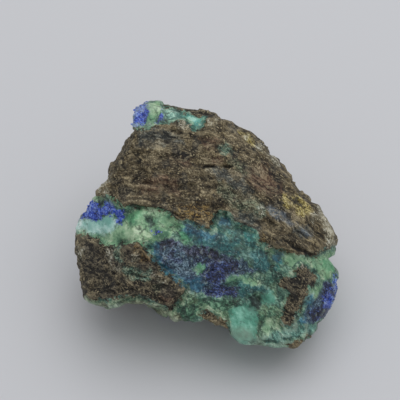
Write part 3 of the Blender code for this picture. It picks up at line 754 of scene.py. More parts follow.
# %% Which mineral each point is
is_rock = inside("rock")
is_azurite = inside("azurite") * (1.0 - is_rock)
smoothest = np.maximum(fields["chrysocolla"], fields["waxy"])
is_waxy = smooth_step(smoothest, -0.3, 0.3) * (1.0 - is_rock) * (1.0 - is_azurite)
is_green = (1.0 - is_rock) * (1.0 - is_azurite) * (1.0 - is_waxy)
for name, share in (("rock", is_rock), ("azurite", is_azurite), ("waxy", is_waxy), ("green", is_green)):
    print(f"{name} is {100 * share.mean():.0f}% of the surface")

# %% Relief of the ironstone: thin beds, platy chips and pits
# Beds 0.9 mm thick with sharp crests about 2.4 mm apart, chips 2.6 and 1.2 mm wide, and pits 1.5 mm wide. All are
# longer across than up, because they follow the beds, and all but the beds are deepest on the umber rock.
PATCH_CALM = 0.6  # how much smoother the small patch is than the rest of the rock
grain = np.stack((across, bed_height(across, place[:, 1]), out), axis=1)
rugged = 0.35 + 0.65 * smooth_step(soft_noise(skin, 9.0, 161) + 0.9 * is_umber, -0.3, 0.7)
beds = soft_noise(grain * (0.35, 1.0, 0.6), 0.9, 101) * 0.1
beds -= np.abs(soft_noise(grain * (0.3, 1.0, 0.6), 2.4, 102)) * 0.4
platy = grain * (0.5, 1.0, 0.75)
chips = chip_relief(platy, 2.6, 0.16, 141, 18.0) + chip_relief(platy, 1.2, 0.15, 147, 14.0)
pits = -0.45 * smooth_step(soft_noise(grain * (0.6, 1.0, 0.8), 1.5, 105), 0.5, 0.8)
is_patch = in_front * smooth_step(deepest((PATCH,)), -0.5, 0.5)
rock_fine = (beds + (chips + pits) * rugged) * (1.0 - PATCH_CALM * is_patch)
print("the rock's relief from", rock_fine.min().round(2), "to", rock_fine.max().round(2), "mm")

# %% Relief of the vein: crusts, domes and swellings
# Azurite has sharp chips 1.2 mm wide, malachite domes of 1.7 mm, and chrysocolla swellings of 3.6 mm. Finer and
# broader noise makes each uneven.
azurite_fine = chip_relief(skin, 1.2, 0.3, 111, 8.0) + soft_noise(skin, 0.9, 112) * 0.12
azurite_fine += soft_noise(skin, 3.0, 113) * 0.3
green_fine = grain_domes(skin, 1.7, 121) * 0.28 + soft_noise(skin, 0.9, 122) * 0.1 + soft_noise(skin, 2.8, 123) * 0.45
waxy_fine = grain_domes(skin, 3.6, 131) * 0.4 + soft_noise(skin, 1.8, 132) * 0.05
fine = is_rock * rock_fine + is_azurite * azurite_fine + is_green * green_fine + is_waxy * waxy_fine
print("relief of all minerals from", fine.min().round(2), "to", fine.max().round(2), "mm")

# %% The groove, the little holes and the slits
GROOVE_DEPTH, GROOVE_PLACE, GROOVE_WIDTH, HOLE_DEPTH = 0.45, 0.25, 0.35, 0.6
# Slits that lie open along the beds: across, up, half length and half width in mm, turn in degrees, and depth in mm.
SLITS = (
    (1.3, 15.4, 1.8, 0.4, 0.0, 1.0), (5.7, 15.7, 1.5, 0.35, 2.0, 0.9), (-18.6, 12.2, 1.4, 0.45, 27.0, 0.5),
    (1.0, 10.1, 1.2, 0.4, 4.0, 0.5), (-8.7, 23.0, 1.5, 0.35, 7.0, 0.5), (21.4, -4.3, 1.9, 0.5, -30.0, 0.7),
    (24.3, -5.8, 2.2, 0.55, -26.0, 0.9), (27.0, -7.4, 1.3, 0.8, -10.0, 0.8), (-15.2, 6.9, 3.6, 0.5, -7.0, 0.6),
    (-12.1, -19.1, 1.8, 0.6, -38.0, 0.9), (-22.0, 14.5, 2.2, 0.3, 12.0, 0.4), (-27.0, -12.0, 1.8, 0.4, 62.0, 0.4),
    (-18.5, -12.6, 2.4, 0.4, -14.0, 0.6), (-7.4, 3.0, 3.0, 0.35, -18.0, 0.6), (18.6, -29.5, 4.6, 0.4, 10.0, 0.6),
    (24.7, -1.6, 2.4, 0.35, -38.0, 0.5), (17.3, 0.6, 1.8, 0.35, -30.0, 0.45),
)
groove = np.exp(-(((fields["rock"] + GROOVE_PLACE) / GROOVE_WIDTH) ** 2))
fine -= GROOVE_DEPTH * groove * smooth_step(soft_noise(skin, 3.0, 151), -0.6, 0.3)
fine -= HOLE_DEPTH * smooth_step(fields["dark"], -0.4, 0.6) * (1.0 - 0.6 * is_azurite)
fields["slit"] = np.zeros(len(fine))
for x, y, half_length, half_width, turn, depth in SLITS:
    along, aside = turned_distances(place[:, 0], place[:, 1], x, y, turn)
    fields["slit"] += depth * in_front * np.exp(-((along / half_length) ** 4) - (aside / half_width) ** 2)
fine -= fields["slit"]
print("fine relief from", fine.min().round(2), "to", fine.max().round(2), "mm")

# %% Move the skin, inside the solid's own box
low, high = np.array(cad_box) / MM
surface = np.clip(skin + facing * fine[:, None] + CENTRE, low, high)
print("the surface's box in mm:", surface.min(axis=0).round(2), surface.max(axis=0).round(2))

# %% Where it stands proud and where it is hollow
def relaxed(points, rounds):
    """The points after so many rounds, in each of which a point moves to the mean of its squares' middles."""
    corners = squares.ravel()
    share = np.bincount(corners, minlength=len(points))[:, None]
    for _ in range(rounds):
        middles = np.repeat(points[squares].mean(axis=1), 4, axis=0)
        points = np.stack([np.bincount(corners, middles[:, axis], len(points)) for axis in range(3)], axis=1) / share
    return points


# How far the surface stands out of its own mean; the finish uses it to paint shade into hollows and light onto proud
# edges.
standing = np.zeros(len(surface))
for rounds in (3, 28):  # the first shows grains, and the second whole ledges
    away = ((surface - relaxed(surface, rounds)) * facing).sum(axis=1)
    print(f"after {rounds} rounds the surface stands {away.std():.3f} mm off its own mean")
    standing += np.clip(0.5 * away / away.std(), -1.2, 1.2)

# %% Put the net into a mesh
def closed_mesh(name, points, faces, attributes, smooth=True):
    """A mesh of those points in metres and those faces, with each attribute stored on the points."""
    mesh = bpy.data.meshes.new(name)
    mesh.from_pydata((points * MM).tolist(), [], faces.tolist())
    for attribute, values in attributes.items():
        kind, key = ("FLOAT", "value") if values.ndim == 1 else ("FLOAT_VECTOR", "vector")
        mesh.attributes.new(attribute, kind, "POINT").data.foreach_set(key, values.astype(np.float32).ravel())
    if smooth:
        mesh.shade_smooth()
    piece = bpy.data.objects.new(name, mesh)
    bpy.context.scene.collection.objects.link(piece)
    return piece


stone = closed_mesh("broken_stone", surface, squares, {**fields, "standing": standing, "grain": grain})
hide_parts("stone")
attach(stone, "root")
print("the stone's mesh has", len(stone.data.polygons) * 2, "triangles")

# %% [markdown]
# ## Azurite crystals
#
# Azurite lines its hollows with crystals under a millimetre long, which is why it glitters. Each is a short prism
# with a chisel end, sunk more than half way into the skin. One prism is written down, then copied, turned and sized
# with whole arrays. Instancing would work too, but one mesh travels better.

# %% One prism, and where the crystals stand
PRISM = np.array([
    (-1.0, -0.35, -0.6), (-0.3, -0.7, -0.6), (0.8, -0.5, -0.6), (1.0, 0.3, -0.6), (0.3, 0.7, -0.6), (-0.8, 0.5, -0.6),
    (-1.0, -0.35, 0.55), (-0.3, -0.7, 0.5), (0.8, -0.5, 0.5), (1.0, 0.3, 0.6), (0.3, 0.7, 0.55), (-0.8, 0.5, 0.6),
    (-0.5, 0.0, 1.0), (0.5, 0.05, 0.95),
])
PRISM_FACES = np.array([
    (0, 1, 7), (0, 7, 6), (1, 2, 8), (1, 8, 7), (2, 3, 9), (2, 9, 8), (3, 4, 10), (3, 10, 9), (4, 5, 11), (4, 11, 10),
    (5, 0, 6), (5, 6, 11), (6, 7, 12), (7, 8, 13), (7, 13, 12), (8, 9, 13), (9, 10, 13), (10, 11, 12), (10, 12, 13),
    (11, 6, 12), (0, 5, 4), (0, 4, 3), (0, 3, 2), (0, 2, 1),
])
DULL_SHARE, BRIGHT_SHARE = 0.035, 0.19  # of the net's points, how many hold a crystal, and how many more where bright
FOOT_MM = 2.0  # no crystal stands on the part that touches the table
spread = np.stack([lattice(cells, seed) for seed in range(201, 209)], axis=1)
blue = smooth_step(fields["azurite"], -0.1, 0.5) * (fields["rock"] < -0.3) * (fields["bright"] < -0.2)
bright = inside("vivid")
holds_one = spread[:, 0] < blue * (DULL_SHARE + BRIGHT_SHARE * bright)
sites = np.flatnonzero(holds_one & (surface[:, 2] > FOOT_MM))
print(len(sites), "crystals")

# %% Turn, size and join them
CRYSTAL_SIZE, CRYSTAL_SHAPE = 0.31, (0.62, 0.7, 1.15)  # half of a crystal in mm, and its thickness, width and length
SIZE_SPREAD, LEAN, SUNK_MM, THICK_DARKENS = 0.45, 0.9, 0.18, 0.6


def crystal_points(sites):
    """Every prism's points: the one prism, sized, then turned so that its own length runs along a way that leans at
    random off the skin's normal, then moved to its place on the skin."""
    chance = spread[sites, 1:] * 2.0 - 1.0
    length = facing[sites] + chance[:, :3] * LEAN
    length /= np.linalg.norm(length, axis=1)[:, None]
    side = np.cross(length, chance[:, 3:6] + (0.0, 0.0, 0.01))  # never along the length itself
    side /= np.linalg.norm(side, axis=1)[:, None]
    turned = np.stack((side, np.cross(length, side), length), axis=1)
    size = CRYSTAL_SIZE * (1.0 + SIZE_SPREAD * chance[:, 6:7])
    sized = PRISM[None] * (size[..., None] * CRYSTAL_SHAPE)
    return np.einsum("nvi,nij->nvj", sized, turned) + surface[sites][:, None] - SUNK_MM * facing[sites][:, None]


points = np.clip(crystal_points(sites).reshape(-1, 3), low, high)
starts = np.arange(len(sites)) * len(PRISM)
triangles = (PRISM_FACES[None] + starts[:, None, None]).reshape(-1, 3)
shade = np.repeat(spread[sites, 3] * (1.0 - THICK_DARKENS * inside("deep")[sites]), len(PRISM))
crystals = closed_mesh("azurite_crystals", points, triangles,
                       {"shade": shade, "bright": np.repeat(bright[sites], len(PRISM))}, smooth=False)
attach(crystals, "root")
print("their mesh has", len(triangles), "triangles")

# %% [markdown]
# ## Finishes
#
# Every finish is a small tree of nodes. One function adds a node with its settings, its fixed numbers and its links.
# Colours are written as sRGB hex, the way a paint chart gives them, and are turned to linear light before use.

# %% One function for a node, and one for a colour
def linear(hex_colour):
    """sRGB hex to linear light: c / 12.92 below 0.04045, and ((c + 0.055) / 1.055) ^ 2.4 above it."""
    parts = [int(hex_colour[start:start + 2], 16) / 255 for start in (1, 3, 5)]
    return tuple(c / 12.92 if c <= 0.04045 else ((c + 0.055) / 1.055) ** 2.4 for c in parts) + (1.0,)


def add(tree, kind, sockets=None, stops=None, output=0, **settings):
    """Adds one node and gives back one of its outputs. settings are its properties, sockets what each input holds or
    is linked to, and stops the places and hex colours of a colour ramp."""
    node = tree.nodes.new("ShaderNode" + kind)
    for name, value in settings.items():
        setattr(node, name, value)
    for socket, value in (sockets or {}).items():
        if isinstance(value, bpy.types.NodeSocket):
            tree.links.new(value, node.inputs[socket])
        else:
            node.inputs[socket].default_value = value
    if stops:
        elements = node.color_ramp.elements
        while len(elements) < len(stops):
            elements.new(1.0)
        for element, (position, colour) in zip(elements, stops):
            element.position, element.color = position, linear(colour)
    return node.outputs[output] if len(node.outputs) else node


def new_material(name):
    """A material of that name with an empty tree."""
    material = bpy.data.materials.new(name)
    material.use_nodes = True
    material.node_tree.nodes.clear()
    return material, material.node_tree


print("mid grey #808080 is", round(linear("#808080")[0], 3), "in linear light")

# %% [markdown]
# ## Vein and ironstone
#
# The real surface is broken, never polished. Limonite ironstone is dull and earthy: brown, with tan specks and black
# pits. Here the pits' blackness is painted shade, and some specks are painted glints. Malachite is grainy and dull,
# azurite glitters, and chrysocolla has a waxy shine. A painter would glaze one thin colour over another, and the layers
# below do the same: each is laid over the last where its field, plus a ragged noise, is above zero. Every layer has its
# own colours from dark to light, its own grain, roughness and specks.
# A material for each mineral would give hard borders, and real ones fade into each other.

# %% Colours and grain of the vein's layers
# name: colours from dark to light, its mix of noises, softness of its edge in mm, how fully it covers, roughness,
# and the strength and colour of its specks, which are partly pale grains and partly painted glints
VEIN_LAYERS = {
    "ground": (("#132720", "#2c4d42", "#486f60", "#69907c", "#95b7a0"), "grains", 0.0, 1.0, 0.6, 0.4, "#b5cdbb"),
    "teal": (("#103338", "#1a4850", "#255e62", "#3a7478", "#6f9e9e"), "grains", 0.6, 0.88, 0.5, 0.4, "#9cbebb"),
    "malachite": (("#3b684f", "#608e6c", "#7ba680", "#93b791", "#b8d2b0"), "clouds", 0.25, 1.0, 0.6, 0.3, "#d0e0c4"),
    "dusky": (("#0d1e16", "#1b3b2c", "#2e5740", "#4a765c", "#7caa88"), "grains", 0.5, 0.9, 0.55, 0.35, "#98bba0"),
    "sea": (("#18372f", "#39635a", "#558378", "#74a394", "#a3cbb9"), "grains", 0.3, 1.0, 0.4, 0.3, "#b5d6c8"),
    "rind": (("#2a2a1e", "#545440", "#74765e", "#95987c", "#b8bca0"), "grains", 0.3, 0.85, 0.7, 0.5, "#c4c8aa"),
    "verdant": (("#1d4a43", "#2f6b60", "#3f8878", "#62a892", "#8cc8b0"), "clouds", 1.0, 0.22, 0.5, 0.2, "#b5cdbb"),
    "sallow": (("#39492b", "#66764a", "#8a9a69", "#aab98a", "#cbd6b0"), "clouds", 0.9, 0.18, 0.6, 0.3, "#d9dfc0"),
    "mint": (("#557f60", "#7da681", "#98bd97", "#b1cfaa", "#d2e3c6"), "clouds", 0.7, 0.75, 0.55, 0.25, "#d9e6ca"),
    "chrysocolla": (("#74aca1", "#92c4ba", "#acd6cd", "#c2e3dc", "#dbf0eb"), "clouds", 0.8, 0.95, 0.35, 0.05,
                    "#d5ebe6"),
    "waxy": (("#356c5c", "#478772", "#599c86", "#70b09b", "#97cdb9"), "clouds", 0.8, 0.95, 0.32, 0.05, "#b8ddcf"),
    "azurite": (("#0b1120", "#1a2640", "#2d3c5a", "#475a78", "#7c8ea8"), "glitter", 0.35, 1.0, 0.45, 0.3, "#93a6bc"),
    "haze": (("#182b3a", "#2b4757", "#42606e", "#5c7c88", "#88a4ac"), "glitter", 0.9, 0.6, 0.45, 0.3, "#9fb6bc"),
    "deep": (("#040612", "#0a1029", "#141e45", "#26346d", "#566cab"), "glitter", 0.4, 0.92, 0.4, 0.15, "#7589bc"),
    "ink": (("#07080f", "#121424", "#1f2038", "#333450", "#5c5c78"), "glitter", 0.7, 0.85, 0.5, 0.5, "#85839a"),
    "vivid": (("#0d1a52", "#1f3a9c", "#3554c2", "#5877d2", "#8fa8e0"), "glitter", 0.25, 1.0, 0.4, 0.2, "#a8bbea"),
    "petrol": (("#0e2c3a", "#164357", "#1f5a72", "#32738c", "#689dae"), "grains", 0.7, 0.85, 0.45, 0.2, "#8fb6bd"),
    "cyan": (("#16504e", "#29736f", "#42938a", "#63afa3", "#9bd2c6"), "clouds", 0.5, 0.85, 0.4, 0.2, "#b0dcd0"),
    "bright": (("#2c6a49", "#44895f", "#5fa678", "#82bd90", "#aed8b0"), "clouds", 0.6, 0.75, 0.5, 0.2, "#c8e4c4"),
    "rim": (("#2f5a48", "#547e62", "#7a9c7a", "#a0b994", "#ccd6b8"), "grains", 0.3, 0.55, 0.5, 0.5, "#d4d8bc"),
    # The dark layer is painted shade inside the little holes.
    "dark": (("#0a1213", "#162223", "#243436", "#384c4c", "#607a74"), "grains", 0.5, 0.8, 0.7, 0.3, "#8ba79c"),
}
print(len(VEIN_LAYERS), "layers make the vein")

# %% Colours and grain of the rock's layers, in the same terms
ROCK_LAYERS = {
    "rock": (("#130f08", "#292216", "#453b29", "#62563d", "#8f8265"), "strata", 0.15, 1.0, 0.85, 0.8, "#b3a684"),
    "umber": (("#040302", "#0e0b07", "#1e1913", "#373125", "#776c56"), "flecks", 0.5, 0.94, 0.85, 0.8, "#a29878"),
    "moss": (("#11160d", "#292f23", "#424a38", "#5c644f", "#879078"), "flecks", 0.9, 0.85, 0.85, 0.8, "#a6a991"),
    "rust": (("#160b07", "#37231b", "#54392f", "#6c5043", "#8e745f"), "strata", 1.0, 0.6, 0.85, 0.3, "#a8936f"),
    "ochre": (("#0d0701", "#221604", "#3c2b0c", "#5d441b", "#957c46"), "flecks", 0.8, 0.88, 0.85, 0.5, "#b39a60"),
    "yellow": (("#2e260a", "#665824", "#8f7f40", "#b0a05a", "#d3c890"), "flecks", 0.5, 0.95, 0.85, 0.6, "#dcd098"),
    "stain": (("#0f1413", "#23292a", "#393f3d", "#555c5a", "#858c88"), "strata", 0.9, 0.75, 0.75, 0.4, "#989f9a"),
    "slate": (("#252c33", "#3d4751", "#56626c", "#707c86", "#959fa7"), "strata", 0.6, 0.8, 0.75, 0.3, "#aab4ba"),
    "tan": (("#2a2216", "#4f4530", "#6d614a", "#8b7f65", "#b3a88c"), "strata", 0.9, 0.5, 0.85, 0.8, "#c4b898"),
    "soot": (("#060504", "#110f0c", "#1e1b17", "#312e28", "#5c574c"), "strata", 0.7, 0.85, 0.8, 0.5, "#8d8369"),
    "patina": (("#152b24", "#2b4b3e", "#466d5c", "#638c79", "#94b7a3"), "flecks", 0.7, 0.6, 0.7, 0.4, "#aac6b0"),
    "pale": (("#3f3c2e", "#706b55", "#99957e", "#bcb9a6", "#e0e0d2"), "flecks", 0.6, 0.75, 0.8, 0.5, "#e6e6da"),
}
print(len(ROCK_LAYERS), "layers make the rock")

# %% Noises that the layers share
# Real grains are 0.1 to 0.3 mm wide, too fine to show from this far, so the sparkle and the specks are drawn about
# twice as coarse. The specks also stand for painted glints, pale points of light on the grains.
# name: size in mm, detail, roughness, how it is squeezed across, up and out, and a shift that keeps it apart
NOISES = {
    "broad": (5.0, 2.0, 0.5, (1.0, 1.0, 1.0), 40.0),
    "clumps": (2.0, 3.0, 0.6, (1.0, 1.0, 1.0), 30.0),
    "fine": (0.75, 3.0, 0.8, (1.0, 1.0, 1.0), 7.0),
    "sparkle": (0.45, 2.0, 0.8, (1.0, 1.0, 1.0), 13.0),
    "fibres": (1.1, 4.0, 0.75, (0.25, 1.0, 0.6), 20.0),
    "threads": (1.6, 3.0, 0.7, (0.45, 1.0, 0.7), 55.0),
    "specks_and_glints": (0.5, 1.0, 0.5, (1.0, 1.0, 1.0), 60.0),
    "ragged": (1.6, 5.0, 0.75, (1.0, 1.0, 1.0), 0.0),
    "crevices": (1.5, 4.0, 0.75, (0.6, 1.0, 0.8), 80.0),
}
# A layer's light and dark is the sum of these shares of them, about a middle of 0.5.
MIXES = {
    "strata": {"fibres": 0.3, "sparkle": 0.25, "fine": 0.15, "clumps": 0.1, "broad": 0.2},
    "flecks": {"fibres": 0.2, "sparkle": 0.4, "fine": 0.25, "clumps": 0.15},
    "grains": {"fine": 0.4, "clumps": 0.35, "broad": 0.25},
    "clouds": {"fine": 0.15, "clumps": 0.35, "broad": 0.5},
    "glitter": {"sparkle": 0.6, "clumps": 0.25, "broad": 0.15},
}
# How far from 0.5 the ends of a mix's ramps lie.
SPREAD = {"strata": 0.067, "flecks": 0.051, "grains": 0.09, "clouds": 0.1, "glitter": 0.085}
print(len(NOISES), "noises in", len(MIXES), "mixes")

# %% Lay the noises along the beds
# All noise is placed by the stone's own millimetres across, by bed height, and out.
finish, tree = new_material("broken ironstone with copper vein")
grain_mm = add(tree, "Attribute", output="Vector", attribute_name="grain")
noise, tones = {}, {}
for name, (size, detail, roughness, squeeze, shift) in NOISES.items():
    moved = add(tree, "Mapping", {"Vector": grain_mm, "Scale": squeeze, "Location": (shift, shift, shift)})
    look = {"Vector": moved, "Scale": 1.0 / size, "Detail": detail, "Roughness": roughness}
    noise[name] = add(tree, "TexNoise", look)
for name, shares in MIXES.items():
    tones[name] = 0.0
    for part, share in shares.items():
        tones[name] = add(tree, "Math", {0: noise[part], 1: share, 2: tones[name]}, operation="MULTIPLY_ADD")
print("the finish has", len(tree.nodes), "nodes so far")

# %% Specks, ragged edges and cracks
SPECK_GLINT_FROM, SPECK_GLINT_TO = 0.61, 0.71  # pale specks, partly painted glints, show where their noise is above this
RAGGED_FROM, RAGGED_TO, RAGGED_MM = 0.36, 0.64, 0.8  # the noise's range, and how far an edge wanders
CRACKS_PER_MM, CRACK_BEND_PER_MM, CRACK_BEND = 0.42, 0.8, 2.2
CRACK_CORE, CRACK_EDGE, CRACK_STRENGTH = 0.02, 0.075, 0.7

specks_and_glints = add(tree, "MapRange", {"Value": noise["specks_and_glints"], "From Min": SPECK_GLINT_FROM, "From Max": SPECK_GLINT_TO})
edge_mm = add(tree, "MapRange", {"Value": noise["ragged"], "From Min": RAGGED_FROM, "From Max": RAGGED_TO,
                                 "To Min": -RAGGED_MM, "To Max": RAGGED_MM})
# Cracks between the vein's cells, 2.4 mm apart and crooked, kept in patches.
crooked = add(tree, "TexNoise", {"Vector": grain_mm, "Scale": CRACK_BEND_PER_MM, "Detail": 3.0}, output="Color")
crooked = add(tree, "VectorMath", {0: crooked, 1: (CRACK_BEND, CRACK_BEND, CRACK_BEND), 2: grain_mm},
              operation="MULTIPLY_ADD")
to_edge = add(tree, "TexVoronoi", {"Vector": crooked, "Scale": CRACKS_PER_MM}, output="Distance",
              feature="DISTANCE_TO_EDGE")
cracks = add(tree, "MapRange", {"Value": to_edge, "From Min": CRACK_CORE, "From Max": CRACK_EDGE, "To Min": 1.0,
                                "To Max": 0.0})
kept = add(tree, "MapRange", {"Value": noise["broad"], "From Min": 0.42, "From Max": 0.55, "To Max": CRACK_STRENGTH})
cracks = add(tree, "Math", {0: cracks, 1: kept}, operation="MULTIPLY")
print("edges wander by up to", RAGGED_MM, "mm, and cracks are", round(1 / CRACKS_PER_MM, 1), "mm apart")

# %% Lay one mineral over another
ONLY_ON_AZURITE = ("haze", "deep", "ink", "vivid")
CRACK_COLOUR = "#1b3029"


def cover(name, softness, strength):
    """The layer's strength where its field plus the ragged edge is above zero, and 0 where it is below."""
    field = add(tree, "Attribute", output="Fac", attribute_name=name)
    ragged = add(tree, "Math", {0: field, 1: edge_mm}, operation="ADD")
    return add(tree, "MapRange", {"Value": ragged, "From Min": -softness, "From Max": softness + 0.001,
                                  "To Max": strength}, interpolation_type="SMOOTHSTEP")


def stack(layers):
    """The layers in order, each over the last, as a colour and a roughness. A ramp's five colours lie evenly from
    0.5 less the mix's spread to 0.5 plus it."""
    colour = roughness = azurite = None
    for name, (colours, mix, softness, strength, dullness, speck_glint_share, speck_glint_colour) in layers.items():
        places = [0.5 + SPREAD[mix] * (step / 2.0 - 1.0) for step in range(len(colours))]
        ramp = add(tree, "ValToRGB", {"Fac": tones[mix]}, stops=list(zip(places, colours)))
        # Pale specks over the ramp: partly pale grains, partly painted glints.
        share = add(tree, "Math", {0: specks_and_glints, 1: speck_glint_share}, operation="MULTIPLY")
        own = add(tree, "Mix", {0: share, 6: ramp, 7: linear(speck_glint_colour)}, output=2, data_type="RGBA")
        if colour is None:
            colour, roughness = own, dullness
            continue
        factor = cover(name, softness, strength)
        if name in ONLY_ON_AZURITE:
            factor = add(tree, "Math", {0: factor, 1: azurite}, operation="MULTIPLY")
        azurite = factor if name == "azurite" else azurite
        colour = add(tree, "Mix", {0: factor, 6: colour, 7: own}, output=2, data_type="RGBA")
        roughness = add(tree, "Mix", {0: factor, 2: roughness, 3: dullness}, data_type="FLOAT")
        if name == "sallow":  # the last of the grainy greens: what comes after it covers the cracks
            colour = add(tree, "Mix", {0: cracks, 6: colour, 7: linear(CRACK_COLOUR)}, output=2, data_type="RGBA")
    return colour, roughness


vein, vein_roughness = stack(VEIN_LAYERS)
rock, rock_roughness = stack(ROCK_LAYERS)
print("with its layers it has", len(tree.nodes), "nodes")

# %% Threads and hairlines along the beds
# What noise draws them, half their width in it, what noise keeps them and between what values, strength and colour.
THREADS = ("threads", 0.045, "clumps", 0.4, 0.58, 0.6, "#a2967a")
HAIRLINES = ("fibres", 0.016, "broad", 0.38, 0.55, 1.0, "#120e09")
for source, width, kept_by, low_noise, high_noise, strength, colour in (THREADS, HAIRLINES):
    off = add(tree, "Math", {0: noise[source], 1: 0.5}, operation="SUBTRACT")
    off = add(tree, "Math", {0: off}, operation="ABSOLUTE")
    line = add(tree, "MapRange", {"Value": off, "From Min": 0.0, "From Max": width, "To Min": 1.0, "To Max": 0.0})
    kept = add(tree, "MapRange", {"Value": noise[kept_by], "From Min": low_noise, "From Max": high_noise,
                                  "To Max": strength})
    line = add(tree, "Math", {0: line, 1: kept}, operation="MULTIPLY")
    rock = add(tree, "Mix", {0: line, 6: rock, 7: linear(colour)}, output=2, data_type="RGBA")
rock_cover = cover("rock", 0.15, 1.0)
colour = add(tree, "Mix", {0: rock_cover, 6: vein, 7: rock}, output=2, data_type="RGBA")
roughness = add(tree, "Mix", {0: rock_cover, 2: vein_roughness, 3: rock_roughness}, data_type="FLOAT")
print("a thread is kept where", THREADS[2], "noise is above", THREADS[3])

# %% Painted highlight on proud edges, and painted shade in the hollows
PALEST_VEIN, PALEST_ROCK, EDGE_HIGHLIGHT = "#c9dcc8", "#a69a7c", 0.25
HOLLOW_SHADE_VEIN, HOLLOW_SHADE_ROCK, CREVICE_LIGHT, SLIT_LIGHT = 0.66, 0.47, 0.45, 0.2  # the light that is left in each
EDGE_HIGHLIGHT_FROM, EDGE_HIGHLIGHT_TO = 0.9, 2.2  # how far the surface stands proud where the painted highlight begins, and where it is full
HOLLOW_SHADE_FULL, HOLLOW_SHADE_NONE = -1.8, 0.1  # and the same for the painted shade in hollows
CREVICE_FULL, CREVICE_NONE = 0.33, 0.41

stands = add(tree, "Attribute", output="Fac", attribute_name="standing")
# Painted highlight: proud edges and grains are lightened towards the palest colours.
edge_highlight = add(tree, "MapRange", {"Value": stands, "From Min": EDGE_HIGHLIGHT_FROM, "From Max": EDGE_HIGHLIGHT_TO, "To Max": EDGE_HIGHLIGHT})
palest = add(tree, "Mix", {0: rock_cover, 6: linear(PALEST_VEIN), 7: linear(PALEST_ROCK)}, output=2, data_type="RGBA")
colour = add(tree, "Mix", {0: edge_highlight, 6: colour, 7: palest}, output=2, data_type="RGBA")
# Painted shade: the colour is darkened where the surface lies below its own mean, in hollows, pits and grooves.
deepest_light = add(tree, "Mix", {0: rock_cover, 2: HOLLOW_SHADE_VEIN, 3: HOLLOW_SHADE_ROCK}, data_type="FLOAT")
hollow_shade = add(tree, "MapRange", {"Value": stands, "From Min": HOLLOW_SHADE_FULL, "From Max": HOLLOW_SHADE_NONE,
                                "To Min": deepest_light})
# Painted shade along the crevice noise's lines, which the bump below also sinks.
crevices = add(tree, "MapRange", {"Value": noise["crevices"], "From Min": CREVICE_FULL, "From Max": CREVICE_NONE,
                                  "To Min": CREVICE_LIGHT})
# Painted shade inside the slits, darkest where they are deepest.
slit = add(tree, "Attribute", output="Fac", attribute_name="slit")
slit = add(tree, "MapRange", {"Value": slit, "From Min": 0.1, "From Max": 0.9, "To Min": 1.0, "To Max": SLIT_LIGHT})
shaded = add(tree, "Math", {0: hollow_shade, 1: crevices}, operation="MULTIPLY")
shaded = add(tree, "Math", {0: shaded, 1: slit}, operation="MULTIPLY")
colour = add(tree, "Mix", {0: 1.0, 6: colour, 7: shaded}, output=2, data_type="RGBA", blend_type="MULTIPLY")
print("the deepest hollows keep", HOLLOW_SHADE_ROCK, "of the rock's light")

# %% Sand-fine bumps, and the finish on the stone
BUMP_STRENGTH, BUMP_MM, STONE_IOR = 0.45, 0.25, 1.5
# The fine noise also sets part of every layer's tone, so the bump's crests are painted lighter and its pits darker:
# partly the grain's own mottling, partly painted light and shade.
height = add(tree, "Math", {0: noise["fine"], 1: crevices}, operation="ADD")
bump = add(tree, "Bump", {"Strength": BUMP_STRENGTH, "Distance": BUMP_MM * MM, "Height": height})
shader = add(tree, "BsdfPrincipled", {"IOR": STONE_IOR, "Base Color": colour, "Roughness": roughness, "Normal": bump})
add(tree, "OutputMaterial", {"Surface": shader})
stone.data.materials.append(finish)
print(finish.name, "has", len(tree.nodes), "nodes")

# %% The crystals' finish
def crystal_material():
    """Glassy azurite: nearly black blue where a crystal is thick, royal blue where it is thin and bright."""
    material, tree = new_material("glassy azurite crystals")
    shade = add(tree, "Attribute", output="Fac", attribute_name="shade")
    bright = add(tree, "Attribute", output="Fac", attribute_name="bright")
    dull = add(tree, "ValToRGB", {"Fac": shade}, stops=((0.0, "#0c1426"), (0.6, "#24345a"), (1.0, "#55688c")))
    royal = add(tree, "ValToRGB", {"Fac": shade}, stops=((0.0, "#0f2064"), (0.6, "#3357cc"), (1.0, "#86a2ea")))
    colour = add(tree, "Mix", {0: bright, 6: dull, 7: royal}, output=2, data_type="RGBA")
    shader = add(tree, "BsdfPrincipled", {"Roughness": 0.25, "IOR": 1.73, "Base Color": colour})
    add(tree, "OutputMaterial", {"Surface": shader})
    return material


crystals.data.materials.append(crystal_material())
print("the crystals are", crystals.data.materials[0].name)

# %% [markdown]
# ## Floor, light and camera
#
# The stone stands on pale grey paper under a broad soft light from above and a little behind, like a table beside a
# window. A long lens keeps its shape honest, and the camera looks straight at the display face.

# %% Paper to stand on
def paper_material():
    """Matt paper: a pale grey with a faint cool tint, and no gloss."""
    material, tree = new_material("matt pale paper")
    shader = add(tree, "BsdfPrincipled", {"Base Color": linear("#cdced2"), "Roughness": 0.9, "Specular IOR Level": 0.2})
    add(tree, "OutputMaterial", {"Surface": shader})
    return material


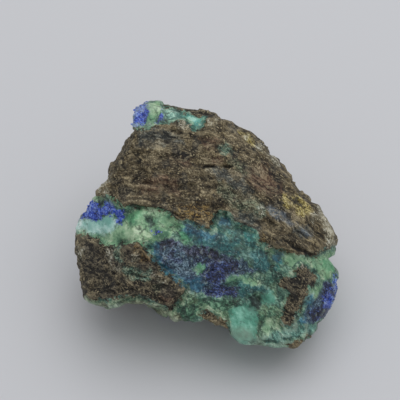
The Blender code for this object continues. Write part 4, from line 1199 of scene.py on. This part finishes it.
HALF_PAPER = 1.5
paper = bpy.data.meshes.new("paper")
corners = [(x * HALF_PAPER, y * HALF_PAPER, 0.0) for x, y in ((-1, -1), (1, -1), (1, 1), (-1, 1))]
paper.from_pydata(corners, [], [(0, 1, 2, 3)])
floor = bpy.data.objects.new("paper", paper)
bpy.context.scene.collection.objects.link(floor)
floor.data.materials.append(paper_material())
print("the paper is", 2 * HALF_PAPER, "m wide")

# %% Soft light
ROOM_COLOUR, ROOM_STRENGTH, AIM_HEIGHT = "#fdfeff", 0.5, 0.02
world = bpy.data.worlds.new("soft room")
world.use_nodes = True
world.node_tree.nodes["Background"].inputs["Color"].default_value = linear(ROOM_COLOUR)
world.node_tree.nodes["Background"].inputs["Strength"].default_value = ROOM_STRENGTH
bpy.context.scene.world = world


def soft_light(name, bearing, height, distance, size, power):
    """A square light of that size in metres and power in watts, that far from the stone at that bearing and height in
    degrees, turned towards it. Bearing 0 is the front and 90 the right."""
    b, h = math.radians(bearing), math.radians(height)
    lamp = bpy.data.lights.new(name, "AREA")
    lamp.size, lamp.energy = size, power
    light = bpy.data.objects.new(name, lamp)
    light.location = Vector((math.sin(b) * math.cos(h), -math.cos(b) * math.cos(h), math.sin(h))) * distance
    light.rotation_mode = "QUATERNION"
    light.rotation_quaternion = (light.location - Vector((0.0, 0.0, AIM_HEIGHT))).to_track_quat("Z", "Y")
    bpy.context.scene.collection.objects.link(light)
    return light


window = soft_light("broad window above and behind", bearing=150.0, height=75.0, distance=0.8, size=1.0, power=4.0)
bpy.context.scene.view_settings.view_transform = "Standard"
print("the light stands at", [round(value, 2) for value in window.location], "m")

# %% Camera
LENS, VIEW_WIDTH_MM = 135.0, 104.0  # the lens in mm, and how wide a strip of the display face it sees
SHIFT_MM = (-1.56, 6.76)  # where on the face it aims, across and up from the middle
back = Vector(FACE[2])
turned = (-back).to_track_quat("-Z", "Y")
aim = Vector(CENTRE) * MM + turned @ Vector((SHIFT_MM[0] * MM, SHIFT_MM[1] * MM, 0.0))
camera = bpy.data.objects.new("camera", bpy.data.cameras.new("camera"))
camera.data.lens = LENS
camera.location = aim + back * (VIEW_WIDTH_MM * MM * LENS / camera.data.sensor_width)
camera.rotation_mode = "QUATERNION"
camera.rotation_quaternion = turned
bpy.context.scene.collection.objects.link(camera)
bpy.context.scene.camera = camera
print("the camera is", round((camera.location - aim).length * 1000), "mm away")
